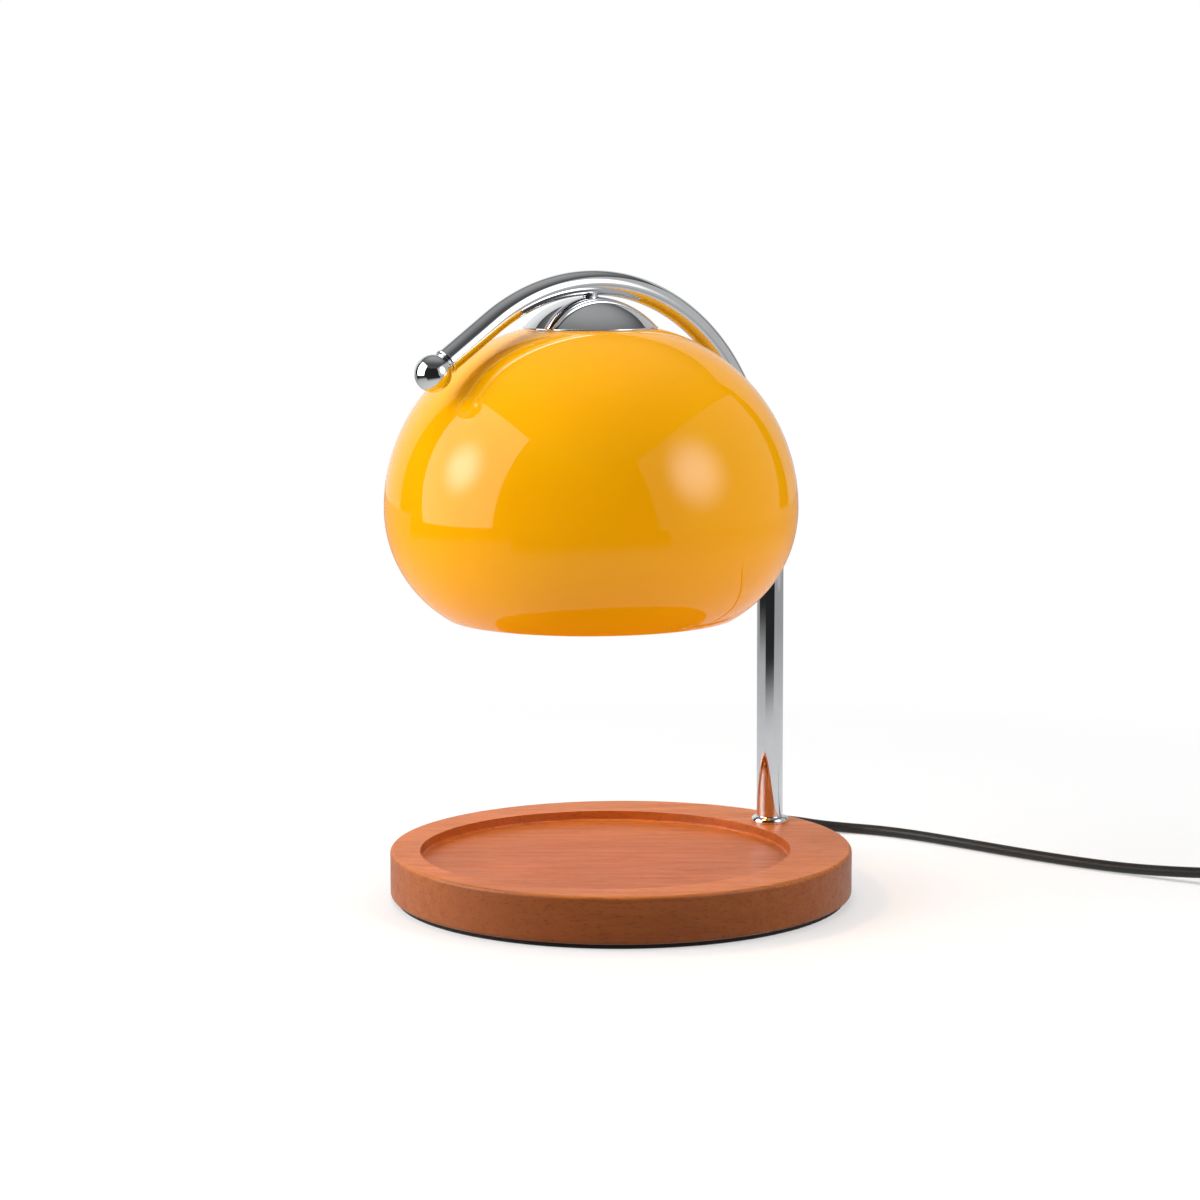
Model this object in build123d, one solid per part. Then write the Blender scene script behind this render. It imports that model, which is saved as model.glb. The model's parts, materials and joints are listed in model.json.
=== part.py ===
from build123d import *
import os
from math import acos, asin, atan2, cos, pi, radians, sin, sqrt, tan

# Candle warmer lamp: a wooden tray base, a telescoping chrome stem, an arch that carries a
# glass shade over the tray, a reflector bulb inside the shade and a mains lead with a dimmer.
# Millimetres. The origin is the centre of the base's underside, +Z is up, the arch lies in the
# XZ plane, the stem stands at +X and the arch's ball end points to -X.

# Clearances, and how far a cut runs past the face that it opens
fit_gap = 0.05
running_gap = 0.3
slide_gap = 0.05
overrun = 1.0

# Wooden base and its pad
base_radius = 100.0
base_height = 20.0
base_edge_round = 1.6
pad_thickness = 2.0
pad_inset = 2.5
pad_round = 0.4
tray_rim = 11.5
tray_stem_rim = 28.5
tray_depth = 4.5
tray_floor_round = 1.2

# Wiring cavity under the base
cavity_inset = 44.0
cavity_side = 9.85
cavity_radius = 30.0
cavity_roof = 3.0
cover_thickness = 1.5
cover_margin = 7.0
nut_cover_margin = 1.6
cover_gap = 0.2
cover_screw_count = 3
cover_screw_first = 100.0
cover_screw_step = 80.0
cover_screw_radius = 1.4
cover_screw_head_radius = 2.8
cover_screw_length = 8.0

# Stem, which stands on the base
stem_inset = 16.0
stem_wall = 0.45
stem_height = 121.4
rosette_radius = 8.3
rosette_height = 3.0
rosette_round = 2.2
nipple_wall = 1.6
nipple_below_nut = 0.4
nut_height = 4.0
nut_across_flats = 15.0
washer_radius = 9.0
washer_thickness = 1.2
washer_gap = 1.5
ferrule_wall = 1.1
ferrule_height = 8.0
ferrule_lip = 0.8
ferrule_round = 0.5
guide_height = 3.2
guide_wall = 0.5

# Telescoping slide
slide_travel = 60.0
sleeve_height = 30.0
spigot_height = 12.0
sleeve_bore_radius = 2.75

# Arch
arch_radius = 5.25
arch_wall = 0.8
arch_clear = 6.05
first_bend_extra = 40.0
second_bend_less = 8.0
tail_turn = 33.7
tail_length = 35.3
ball_radius = 7.75
collar_radius = 5.65
collar_thickness = 2.2
collar_round = 0.6
collar_lip = 1.2
stud_radius = 2.5
stud_length = 16.0
insert_length = 12.0

# Hanger, dome cap and glass shade
hanger_gap = 0.3
hanger_radius = 4.5
hanger_height = 2.2
hang_nipple_radius = 3.25
hang_nipple_bore = 2.1
hang_nipple_rise = 1.0
dome_radius = 28.4
dome_rise = 13.2
dome_wall = 0.8
dome_gasket_width = 1.0
dome_gasket_thickness = 0.5
glass_thickness = 2.6
glass_equator_radius = 88.0
glass_ring = 10.0
glass_lower_radius = 54.0
glass_lower_turn = 59.2
glass_hole_radius = 11.0
glass_rim_round = 1.1
shade_gasket_width = 8.0
shade_gasket_thickness = 1.2
clamp_plate_radius = 21.0
clamp_plate_thickness = 1.2
hang_nut_height = 4.0
hang_nut_across_flats = 11.0

# Bulb holder and reflector bulb
bracket_thickness = 1.2
bracket_depth = 12.0
bracket_drop = 16.0
holder_radius = 13.4
holder_height = 20.0
holder_cover_thickness = 2.0
holder_screw_radius = 1.5
holder_screw_length = 7.0
holder_screw_head_radius = 3.0
holder_screw_head = 1.6
holder_web = 1.5
contact_width = 4.0
contact_thickness = 2.0
pin_spacing = 10.0
pin_radius = 1.3
pin_head_radius = 2.4
pin_head_height = 2.4
bulb_neck_radius = 8.0
bulb_neck_height = 12.0
bulb_face_radius = 25.0
bulb_length = 54.0
bulb_wall = 1.5
bulb_skirt = 1.0
bulb_bulge = 4.6
lens_thickness = 2.5
capsule_radius = 4.0
capsule_length = 18.0
capsule_round = 3.2
bulb_twist = 40.0

# Mains lead
cord_radius = 2.4
cord_angle = 22.0
relief_length = 26.0
relief_root_radius = 4.6
relief_tip_radius = 3.3
relief_flange_radius = 6.0
relief_flange_thickness = 1.6
relief_spigot_radius = 4.0
lead_radius = 1.2
lead_run = 6.0
lead_side_bend = 5.0
lead_up_bend = 4.4
lead_below_top = 2.0
terminal_gap = 5.0
terminal_width = 16.0
terminal_clear = 3.0
terminal_screw_radius = 1.8
terminal_screw_depth = 4.0
terminal_screw_sunk = 1.0
terminal_screw_inset = 5.0
clamp_width = 18.0
clamp_length = 7.0
clamp_thickness = 1.6
clamp_post_radius = 2.2
clamp_post_inset = 2.5
clamp_screw_radius = 1.0
flex_radius = 1.5
flex_bend = 3.8

# Points of the lead that lie free, from the strain relief to the dimmer and on to the coil
strand_points = [
    (127.0, 51.3, 9.0),
    (141.0, 51.5, 6.6),
    (154.1, 46.5, 3.6),
    (164.3, 37.0, 2.5),
    (171.8, 24.0, 2.5),
    (178.0, 6.0, 2.5),
    (183.0, -19.5, 2.5),
    (188.7, -52.0, 2.5),
    (195.2, -80.5, 2.5),
    (203.0, -106.5, 2.7),
    (212.0, -132.0, 4.2),
]
link_points = [
    (266.7, -238.3, 4.8),
    (281.7, -243.8, 3.4),
]

# Dimmer on the lead
dimmer_x = 224.4
dimmer_y = -161.0
dimmer_heading = -65.0
dimmer_length = 64.0
dimmer_width = 26.0
dimmer_height = 13.0
dimmer_split = 6.2
dimmer_wall = 1.6
dimmer_round = 4.0
dimmer_top_round = 2.0
dimmer_post_radius = 2.4
dimmer_post_inset = 8.8
dimmer_post_sink = 0.8
cord_entry = 6.0
mouth_run = 9.0
board_thickness = 1.6
board_height = 2.6
board_gap = 1.3
board_foot_radius = 2.0
board_foot_inset = 4.0
knob_radius = 9.5
knob_height = 5.0
knob_round = 1.2
marker_inner = 3.0
marker_margin = 1.0
marker_width = 1.2
marker_depth = 0.8
spindle_radius = 2.5
potentiometer_height = 3.0
potentiometer_radius = 6.0
dimmer_screw_radius = 1.2
dimmer_screw_head_radius = 2.0

# Coil, tie and plug
coil_x = 301.5
coil_y = -207.3
coil_radius = 36.5
coil_half_turns = 6
turn_gap = 0.5
coil_sample = 2.0
tie_thickness = 0.8
tie_width = 8.0
tie_gap = 0.4
tie_lift = 0.1
tie_round = 1.2
tail_run = 30.0
tail_straight = 8.0
plug_relief_length = 14.0
plug_relief_tip = 3.3
plug_relief_root = 4.8
plug_length = 26.0
plug_width = 22.0
plug_height = 17.0
plug_round = 4.0
plug_back_round = 2.4
blade_spacing = 12.7
blade_length = 16.0
blade_width = 6.3
blade_thickness = 1.5
blade_root = 6.0
blade_round = 1.5

# Places and levels that follow from the sizes above
tray_radius = base_radius - (tray_rim + tray_stem_rim) / 2
tray_shift = (tray_rim - tray_stem_rim) / 2
cavity_x = base_radius - cavity_inset
cavity_y = (cavity_x * sin(radians(cord_angle)) - cavity_side) / cos(radians(cord_angle))
stem_x = base_radius - stem_inset
stem_radius = arch_radius + slide_gap + guide_wall + fit_gap
nut_pocket_radius = washer_radius + washer_gap
glass_upper_radius = glass_equator_radius - glass_ring
reach = glass_equator_radius + arch_clear + arch_radius
wood_bottom = pad_thickness
wood_top = wood_bottom + base_height
tray_floor = wood_top - tray_depth
cover_top = wood_bottom + cover_thickness
cavity_top = tray_floor - cavity_roof
cord_height = (cover_top + cavity_top) / 2
stem_bore = stem_radius - stem_wall
stem_top = wood_top + stem_height
ferrule_top = stem_top + guide_height + ferrule_lip
sleeve_top = stem_top - running_gap - slide_travel
sleeve_bottom = sleeve_top - sleeve_height
arch_bore = arch_radius - arch_wall

first_bend = reach + first_bend_extra
second_bend = reach - second_bend_less
first_turn = acos(first_bend_extra / (first_bend_extra + second_bend_less))
arch_start = ferrule_top + running_gap
shade_x = stem_x - reach
first_centre_x = stem_x - first_bend
second_centre_z = arch_start + (first_bend - second_bend) * sin(first_turn)
apex_z = second_centre_z + second_bend
last_angle = pi / 2 + radians(tail_turn)

dome_top = apex_z - arch_radius - hanger_gap
dome_rim = dome_top - dome_rise
dome_sphere = (dome_radius**2 + dome_rise**2) / (2 * dome_rise)


def glass_top_at(radius, inset=0.0):
    """Height of the glass over its equator, at a radius, on a surface set in by inset."""
    return sqrt((glass_upper_radius - inset) ** 2 - (radius - glass_ring) ** 2)


equator_z = dome_rim - dome_gasket_thickness - glass_top_at(dome_radius)
shade_gasket_outer = glass_hole_radius + running_gap + shade_gasket_width
clamp_top = equator_z + glass_top_at(shade_gasket_outer, glass_thickness) - shade_gasket_thickness
hang_nut_top = clamp_top - clamp_plate_thickness
bracket_top = hang_nut_top - hang_nut_height
hang_nipple_bottom = bracket_top - bracket_thickness - hang_nut_height
holder_top = hang_nipple_bottom - running_gap
holder_bottom = holder_top - holder_height
holder_cover_bottom = holder_bottom - holder_cover_thickness
bulb_top = holder_cover_bottom - running_gap
bulb_face = bulb_top - bulb_length

cord_lift = tie_lift + tie_thickness + running_gap / 2 + cord_radius
layer_step = 2 * cord_radius + turn_gap
cord_dir = Vector(cos(radians(cord_angle)), sin(radians(cord_angle)), 0)
dimmer_dir = Vector(cos(radians(dimmer_heading)), sin(radians(dimmer_heading)), 0)
cavity_along = cord_dir.X * cavity_x + cord_dir.Y * cavity_y
cavity_aside = cord_dir.X * cavity_y - cord_dir.Y * cavity_x
wall_along = cavity_along + sqrt(cavity_radius**2 - cavity_aside**2)
terminal_side = abs(cavity_aside) + terminal_width / 2
terminal_length = sqrt((cavity_radius - terminal_gap) ** 2 - terminal_side**2) - running_gap
on_floor = (Align.CENTER, Align.CENTER, Align.MIN)
from_start = (Align.MIN, Align.CENTER, Align.CENTER)
from_corner = (Align.MIN, Align.CENTER, Align.MIN)


def rod(radius, low, high, x=0.0, y=0.0):
    """An upright cylinder between two levels."""
    return Pos(x, y, low) * Cylinder(radius, high - low, align=on_floor)


def ring(outer, inner, low, high, x=0.0, y=0.0):
    """An upright tube between two levels."""
    return rod(outer, low, high, x, y) - rod(inner, low - overrun, high + overrun, x, y)


def turned(edges, x=0.0):
    """A solid turned about an upright axis at x, from edges in the XZ half plane."""
    return Pos(x, 0, 0) * revolve(make_face(edges), Axis.Z)


def arc_at(centre_x, centre_z, radius, start, end):
    """An arc in the XZ plane, between two angles in radians."""
    angles = (start, (start + end) / 2, end)
    spots = [(centre_x + radius * cos(a), 0, centre_z + radius * sin(a)) for a in angles]
    return ThreePointArc(*spots)


def swept(radius, path):
    """A round bar along a path."""
    section = Plane(path @ 0, z_dir=path % 0) * Circle(radius)
    return sweep(section, path=path)


def bowed(start, end, bulge):
    """An arc in the XZ half plane that bulges to the right of the way from start to end."""
    run_r, run_z = end[0] - start[0], end[1] - start[1]
    share = bulge / sqrt(run_r**2 + run_z**2)
    middle = ((start[0] + end[0]) / 2 + run_z * share, 0, (start[1] + end[1]) / 2 - run_r * share)
    return ThreePointArc((start[0], 0, start[1]), middle, (end[0], 0, end[1]))


def hexagon(across_flats, hole, low, high, x=0.0):
    """A nut between two levels."""
    blank = extrude(RegularPolygon(across_flats / 2, 6, major_radius=False), high - low)
    return Pos(x, 0, low) * blank - rod(hole, low - overrun, high + overrun, x)


def along(direction, distance, height):
    """A frame on a level ray from the origin's axis, its X axis along the ray."""
    return Plane((direction * distance) + Vector(0, 0, height), x_dir=direction, z_dir=(0, 0, 1))


def lying_rod(radius, start, end):
    """A cylinder along a local X axis, between two distances."""
    bar = Cylinder(radius, end - start, rotation=(0, 90, 0), align=on_floor)
    return Pos(start, 0, 0) * bar


parts = {}


# Wooden base, pad and cavity cover
def cavity_outline(extra=0.0, nut_extra=0.0):
    """The cavity's plan, with the pocket round the stem's nut, each widened."""
    pocket = Pos(stem_x, 0) * Circle(nut_pocket_radius + nut_extra)
    return Pos(cavity_x, cavity_y) * Circle(cavity_radius + extra) + pocket


screw_ring = cavity_radius + cover_margin / 2
screw_spots = [
    (cavity_x + screw_ring * cos(a), cavity_y + screw_ring * sin(a))
    for a in [radians(cover_screw_first + cover_screw_step * i) for i in range(cover_screw_count)]
]

cord_frame = along(cord_dir, 0, cord_height)
wood = Pos(0, 0, wood_bottom) * Cylinder(base_radius, base_height, align=on_floor)
wood = fillet(wood.edges(), base_edge_round)
tray = rod(tray_radius, tray_floor, wood_top + overrun, tray_shift)
tray = fillet(tray.edges().group_by(Axis.Z)[0], tray_floor_round)
wood -= tray
below = Pos(0, 0, wood_bottom - overrun)
wood -= below * extrude(cavity_outline(), cavity_top - wood_bottom + overrun)
wood -= below * extrude(cavity_outline(cover_margin, nut_cover_margin), cover_thickness + overrun)
wood -= rod(stem_bore - slide_gap + fit_gap, cavity_top - overrun, wood_top + overrun, stem_x)
cord_hole = lying_rod(relief_spigot_radius + fit_gap, cavity_along, base_radius + overrun)
wood -= cord_frame.location * cord_hole
for x, y in screw_spots:
    wood -= rod(cover_screw_radius + fit_gap, wood_bottom, cover_top + cover_screw_length, x, y)
parts["wooden_base"] = wood

parts["base_pad"] = fillet(rod(base_radius - pad_inset, 0, pad_thickness).edges(), pad_round)

cover_plan = cavity_outline(cover_margin - cover_gap, nut_cover_margin - cover_gap)
cover = Pos(0, 0, wood_bottom) * extrude(cover_plan, cover_thickness)
screws = []
for x, y in screw_spots:
    sink = Cone(cover_screw_head_radius, cover_screw_radius, cover_thickness, align=on_floor)
    head = Pos(x, y, wood_bottom) * sink
    cover -= rod(cover_screw_radius, wood_bottom - overrun, cover_top + overrun, x, y)
    cover -= head
    shank = rod(cover_screw_radius, cover_top, cover_top + cover_screw_length - running_gap, x, y)
    screws.append(head + shank)
parts["cavity_cover"] = cover
parts["cover_screws"] = Compound(children=screws)

# Stem with its rosette, nipple, washer, nut and top ferrule
nut_top = cavity_top - washer_thickness
nut_bottom = nut_top - nut_height
nipple_radius = stem_bore - slide_gap
nipple_bottom = nut_bottom - nipple_below_nut
nipple_top = sleeve_bottom - running_gap
nipple_bore = nipple_radius - nipple_wall
parts["stem_tube"] = ring(stem_radius, stem_bore, wood_top, stem_top, stem_x)

rosette_bore = stem_radius + fit_gap
rosette = ring(rosette_radius, rosette_bore, wood_top, wood_top + rosette_height, stem_x)
rosette_edge = rosette.edges().group_by(Axis.Z)[-1].sort_by(Edge.length)[-1]
parts["stem_rosette"] = fillet(rosette_edge, rosette_round)
parts["stem_nipple"] = ring(nipple_radius, nipple_bore, nipple_bottom, nipple_top, stem_x)
parts["stem_washer"] = ring(washer_radius, nipple_radius + fit_gap, nut_top, cavity_top, stem_x)
parts["stem_lock_nut"] = hexagon(nut_across_flats, nipple_radius + fit_gap, nut_bottom, nut_top, stem_x)

ferrule_bore = stem_radius + fit_gap
ferrule_outer = ferrule_bore + ferrule_wall
ferrule_bottom = ferrule_top - ferrule_height
guide_bore = arch_radius + slide_gap
ferrule = ring(ferrule_outer, ferrule_bore, ferrule_bottom, ferrule_top - ferrule_lip, stem_x)
ferrule += ring(ferrule_outer, guide_bore + running_gap, ferrule_top - ferrule_lip, ferrule_top, stem_x)
ferrule_edge = ferrule.edges().group_by(Axis.Z)[-1].sort_by(Edge.length)[-1]
parts["stem_ferrule"] = fillet(ferrule_edge, ferrule_round)
guide_top = stem_top + guide_height
parts["guide_bush"] = ring(stem_radius - fit_gap, guide_bore, stem_top, guide_top, stem_x)

# Friction sleeve at the arch tube's lower end
sleeve = rod(stem_bore - slide_gap, sleeve_bottom, sleeve_top, stem_x)
sleeve += rod(arch_bore - slide_gap, sleeve_top, sleeve_top + spigot_height, stem_x)
sleeve_end = sleeve_top + spigot_height + overrun
sleeve -= rod(sleeve_bore_radius, sleeve_bottom - overrun, sleeve_end, stem_x)
parts["friction_sleeve"] = sleeve

# Arch tube and ball finial
second_arc_end = (
    shade_x + second_bend * cos(last_angle),
    second_centre_z + second_bend * sin(last_angle),
)
tail_dir = Vector(-sin(last_angle), 0, cos(last_angle))
ball_seat = sqrt(ball_radius**2 - (collar_radius - collar_lip) ** 2)
tube_run = tail_length - ball_seat - collar_thickness
bend_end = Vector(second_arc_end[0], 0, second_arc_end[1])
tube_end = bend_end + tail_dir * tube_run
arch_path = Wire(
    [
        Line((stem_x, 0, sleeve_top), (stem_x, 0, arch_start)),
        arc_at(first_centre_x, arch_start, first_bend, 0, first_turn),
        arc_at(shade_x, second_centre_z, second_bend, first_turn, last_angle),
        Line(bend_end, tube_end),
    ]
)
tube_section = Plane(arch_path @ 0, z_dir=(0, 0, 1)) * (Circle(arch_radius) - Circle(arch_bore))
arch_tube = sweep(tube_section, path=arch_path)
arch_tube -= rod(hang_nipple_radius + fit_gap, apex_z - 2 * arch_radius, apex_z, shade_x)
parts["arch_tube"] = arch_tube

end_frame = Plane(tube_end, x_dir=tail_dir, z_dir=(0, 1, 0))
collar = lying_rod(collar_radius, 0, collar_thickness)
collar = fillet(collar.edges(), collar_round)
collar -= lying_rod(stud_radius + fit_gap, -overrun, collar_thickness + overrun)
parts["ball_collar"] = end_frame.location * collar
ball_at = collar_thickness + ball_seat
ball = Pos(ball_at, 0, 0) * Sphere(ball_radius)
ball_room = 4 * ball_radius
ball &= Pos(collar_thickness, 0, 0) * Box(ball_room, ball_room, ball_room, align=from_start)
ball += lying_rod(stud_radius, ball_at - stud_length, ball_at)
parts["ball_finial"] = end_frame.location * ball
insert = lying_rod(arch_bore - fit_gap, -insert_length, 0)
insert -= lying_rod(stud_radius + fit_gap, -insert_length - overrun, overrun)
parts["finial_insert"] = end_frame.location * insert

# Hanger boss, hollow nipple, dome cap
dome_centre = dome_top - dome_sphere
nipple_inner_top = apex_z - arch_bore + hang_nipple_rise
parts["hang_nipple"] = ring(
    hang_nipple_radius, hang_nipple_bore, hang_nipple_bottom, nipple_inner_top, shade_x
)
boss_bottom = dome_top - dome_wall
boss = ring(hanger_radius, hang_nipple_radius + fit_gap, boss_bottom, dome_top + hanger_height, shade_x)
boss -= Pos(shade_x, 0, dome_centre) * Sphere(dome_sphere)
boss_turn = 2 * hanger_radius / second_bend
boss_path = arc_at(shade_x, second_centre_z, second_bend, pi / 2 - boss_turn, pi / 2 + boss_turn)
boss -= swept(arch_radius + fit_gap, boss_path)
parts["hanger_boss"] = boss

inner_sphere = dome_sphere - dome_wall
rim_half = asin(dome_radius / dome_sphere)
inner_half = acos((dome_rim - dome_centre) / inner_sphere)
dome_hole = hang_nipple_radius + fit_gap
hole_half = asin(dome_hole / dome_sphere)
inner_hole_half = asin(dome_hole / inner_sphere)


def dome_arc(radius, start, end):
    """An arc of the dome, between two angles from its top."""
    return arc_at(0, dome_centre, radius, pi / 2 - start, pi / 2 - end)


outer_dome = dome_arc(dome_sphere, hole_half, rim_half)
inner_dome = dome_arc(inner_sphere, inner_half, inner_hole_half)
dome_profile = [
    outer_dome,
    Line(outer_dome @ 1, inner_dome @ 0),
    inner_dome,
    Line(inner_dome @ 1, outer_dome @ 0),
]
parts["dome_cap"] = turned(dome_profile, shade_x)

# Glass shade with its gaskets, clamp plate and nuts
lower_centre = glass_equator_radius - glass_lower_radius
lower_angle = radians(glass_lower_turn)
hole_angle = acos((glass_hole_radius - glass_ring) / glass_upper_radius)
inner_hole_angle = acos((glass_hole_radius - glass_ring) / (glass_upper_radius - glass_thickness))
outer_low = arc_at(lower_centre, equator_z, glass_lower_radius, -lower_angle, 0)
outer_high = arc_at(glass_ring, equator_z, glass_upper_radius, 0, hole_angle)
inner_high = arc_at(glass_ring, equator_z, glass_upper_radius - glass_thickness, inner_hole_angle, 0)
inner_low = arc_at(lower_centre, equator_z, glass_lower_radius - glass_thickness, 0, -lower_angle)
glass_profile = [
    outer_low,
    outer_high,
    Line(outer_high @ 1, inner_high @ 0),
    inner_high,
    inner_low,
    Line(inner_low @ 1, outer_low @ 0),
]
glass = turned(glass_profile)
rim_edges = glass.edges().group_by(Axis.Z)
glass = fillet(rim_edges[0] + rim_edges[1], glass_rim_round)
parts["glass_shade"] = Pos(shade_x, 0, 0) * glass

gasket_low = equator_z + glass_top_at(dome_radius)
dome_gasket = ring(dome_radius, dome_radius - dome_gasket_width, gasket_low, dome_rim, shade_x)
parts["dome_gasket"] = dome_gasket - parts["glass_shade"]

gasket_bore = glass_hole_radius + running_gap
plate_hole = hang_nipple_radius + fit_gap
outer_gasket_z = equator_z + glass_top_at(shade_gasket_outer, glass_thickness)
parts["shade_gasket"] = ring(shade_gasket_outer, gasket_bore, clamp_top, outer_gasket_z, shade_x)
parts["clamp_plate"] = ring(clamp_plate_radius, plate_hole, hang_nut_top, clamp_top, shade_x)
parts["shade_nut"] = hexagon(hang_nut_across_flats, plate_hole, bracket_top, hang_nut_top, shade_x)

# Bulb holder on its bracket
leg_inner = holder_radius + fit_gap
leg_outer = leg_inner + bracket_thickness
leg_bottom = holder_top - bracket_drop
leg_height = bracket_top - leg_bottom
bracket = Box(2 * leg_outer, bracket_depth, leg_height, align=on_floor)
inside = Box(2 * leg_inner, bracket_depth + 2 * overrun, leg_height - bracket_thickness, align=on_floor)
bracket = Pos(shade_x, 0, leg_bottom) * (bracket - inside)
bracket -= rod(plate_hole, leg_bottom, bracket_top + overrun, shade_x)
screw_z = leg_bottom + bracket_drop / 2
holder_frame = Plane((shade_x, 0, screw_z))
holder_sides = [Rot(0, 0, turn) for turn in (0, 180)]
groove_out = pin_spacing / 2 + pin_head_radius + running_gap
groove_in = pin_spacing / 2 - pin_head_radius - running_gap
head_bottom = holder_bottom + running_gap
head_top = head_bottom + pin_head_height
groove_top = head_top + running_gap + contact_thickness
flex_end = groove_top + holder_web
holder = rod(holder_radius, holder_bottom, holder_top, shade_x)
holder -= ring(groove_out, groove_in, holder_bottom - overrun, groove_top, shade_x)
holder -= rod(hang_nipple_bore, flex_end, holder_top + overrun, shade_x)
holder_screws = []
for side in holder_sides:
    screw_tip = leg_inner - holder_screw_length
    hole = side * lying_rod(holder_screw_radius, screw_tip, leg_outer + overrun)
    head = side * lying_rod(holder_screw_head_radius, leg_outer, leg_outer + holder_screw_head)
    shank = side * lying_rod(holder_screw_radius, screw_tip, leg_outer)
    bracket -= holder_frame.location * hole
    holder -= holder_frame.location * hole
    holder_screws.append(holder_frame.location * (head + shank))
parts["holder_bracket"] = bracket
parts["bracket_nut"] = hexagon(
    hang_nut_across_flats, plate_hole, hang_nipple_bottom, bracket_top - bracket_thickness, shade_x
)
parts["lampholder"] = holder
parts["holder_screws"] = Compound(children=holder_screws)

slot_radius = pin_spacing / 2
slot_arc = CenterArc((0, 0), slot_radius, 0, -bulb_twist)
slot_half = pin_radius + running_gap
key_half = pin_head_radius + running_gap
slots = SlotArc(slot_arc, 2 * slot_half)
slots += Pos(slot_arc @ 1) * Circle(key_half)
slots += Rot(0, 0, 180) * slots
cover_disc = extrude(Circle(holder_radius) - slots, holder_cover_thickness)
parts["holder_cover"] = Pos(shade_x, 0, holder_cover_bottom) * cover_disc

contacts = []
for side in (1, -1):
    leaf = Box(contact_width, contact_width, contact_thickness, align=on_floor)
    contacts.append(Pos(shade_x + side * slot_radius, 0, head_top + running_gap) * leaf)
parts["holder_contacts"] = Compound(children=contacts)

# Reflector bulb
neck_bottom = bulb_top - bulb_neck_height
parts["bulb_base"] = rod(bulb_neck_radius, neck_bottom, bulb_top, shade_x)
pins = []
for side in (1, -1):
    pin_x = shade_x + side * slot_radius
    pin_head = rod(pin_head_radius, head_bottom, head_top, pin_x)
    pins.append(rod(pin_radius, bulb_top, head_bottom, pin_x) + pin_head)
parts["bulb_pins"] = Compound(children=pins)

lens_top = bulb_face + lens_thickness
bowl_inner = bulb_face_radius - bulb_wall
neck_outer = bulb_neck_radius + bulb_wall
neck_inner = bulb_neck_radius - bulb_wall
skirt_top = lens_top + bulb_skirt
outer_bowl = bowed((bulb_face_radius, skirt_top), (neck_outer, neck_bottom), bulb_bulge)
inner_bowl = bowed((bowl_inner, skirt_top), (neck_inner, neck_bottom - bulb_wall), bulb_bulge)
reflector_profile = [
    Line((bowl_inner, 0, bulb_face), (bulb_face_radius, 0, bulb_face)),
    Line((bulb_face_radius, 0, bulb_face), outer_bowl @ 0),
    outer_bowl,
    Line(outer_bowl @ 1, (neck_inner, 0, neck_bottom)),
    Line((neck_inner, 0, neck_bottom), inner_bowl @ 1),
    inner_bowl,
    Line(inner_bowl @ 0, (bowl_inner, 0, bulb_face)),
]
parts["bulb_reflector"] = turned(reflector_profile, shade_x)
parts["bulb_lens"] = rod(bowl_inner - fit_gap, bulb_face, lens_top, shade_x)
capsule = rod(capsule_radius, neck_bottom - capsule_length, neck_bottom, shade_x)
parts["bulb_capsule"] = fillet(capsule.edges().group_by(Axis.Z)[0], capsule_round)

# Flex inside the arch, from the sleeve over the apex and down to the bulb holder
flex_bend_z = second_centre_z + sqrt((second_bend - flex_bend) ** 2 - flex_bend**2)
flex_turn = atan2(flex_bend_z - second_centre_z, flex_bend)
flex_path = Wire(
    [
        Line((stem_x, 0, sleeve_top), (stem_x, 0, arch_start)),
        arc_at(first_centre_x, arch_start, first_bend, 0, first_turn),
        arc_at(shade_x, second_centre_z, second_bend, first_turn, flex_turn),
        arc_at(shade_x + flex_bend, flex_bend_z, flex_bend, flex_turn, pi),
        Line((shade_x, 0, flex_bend_z), (shade_x, 0, flex_end + fit_gap)),
    ]
)
parts["arm_flex"] = swept(flex_radius, flex_path)

# Strain relief, cord clamp, terminal block and leads in the base
relief_start = base_radius + fit_gap
relief_end = relief_start + relief_length
bore = cord_radius + fit_gap
relief = lying_rod(relief_spigot_radius, wall_along, relief_start)
relief += lying_rod(relief_flange_radius, relief_start, relief_start + relief_flange_thickness)
taper = Cone(relief_root_radius, relief_tip_radius, relief_length, rotation=(0, 90, 0), align=on_floor)
relief += Pos(relief_start, 0, 0) * taper
relief -= lying_rod(bore, wall_along - overrun, relief_end + overrun)
parts["cord_relief"] = cord_frame.location * relief

parts["cord_tail"] = cord_frame.location * lying_rod(cord_radius, cavity_along, relief_end)

roof = cavity_top - cord_height
clamp_mid = (cavity_along + wall_along) / 2
saddle_low = -cord_radius - fit_gap - clamp_thickness
saddle = Box(clamp_length, clamp_width, clamp_thickness, align=on_floor)
saddle = Pos(clamp_mid, 0, saddle_low) * saddle
clamp_screws = []
for side in (1, -1):
    post_y = side * (clamp_width / 2 - clamp_post_inset)
    saddle += rod(clamp_post_radius, saddle_low + clamp_thickness, roof, clamp_mid, post_y)
    saddle -= rod(clamp_screw_radius, saddle_low - overrun, roof + overrun, clamp_mid, post_y)
    clamp_screws.append(rod(clamp_screw_radius - fit_gap, saddle_low, roof, clamp_mid, post_y))
parts["cord_clamp"] = cord_frame.location * saddle
parts["clamp_screws"] = Compound(children=[cord_frame.location * screw for screw in clamp_screws])

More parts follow.
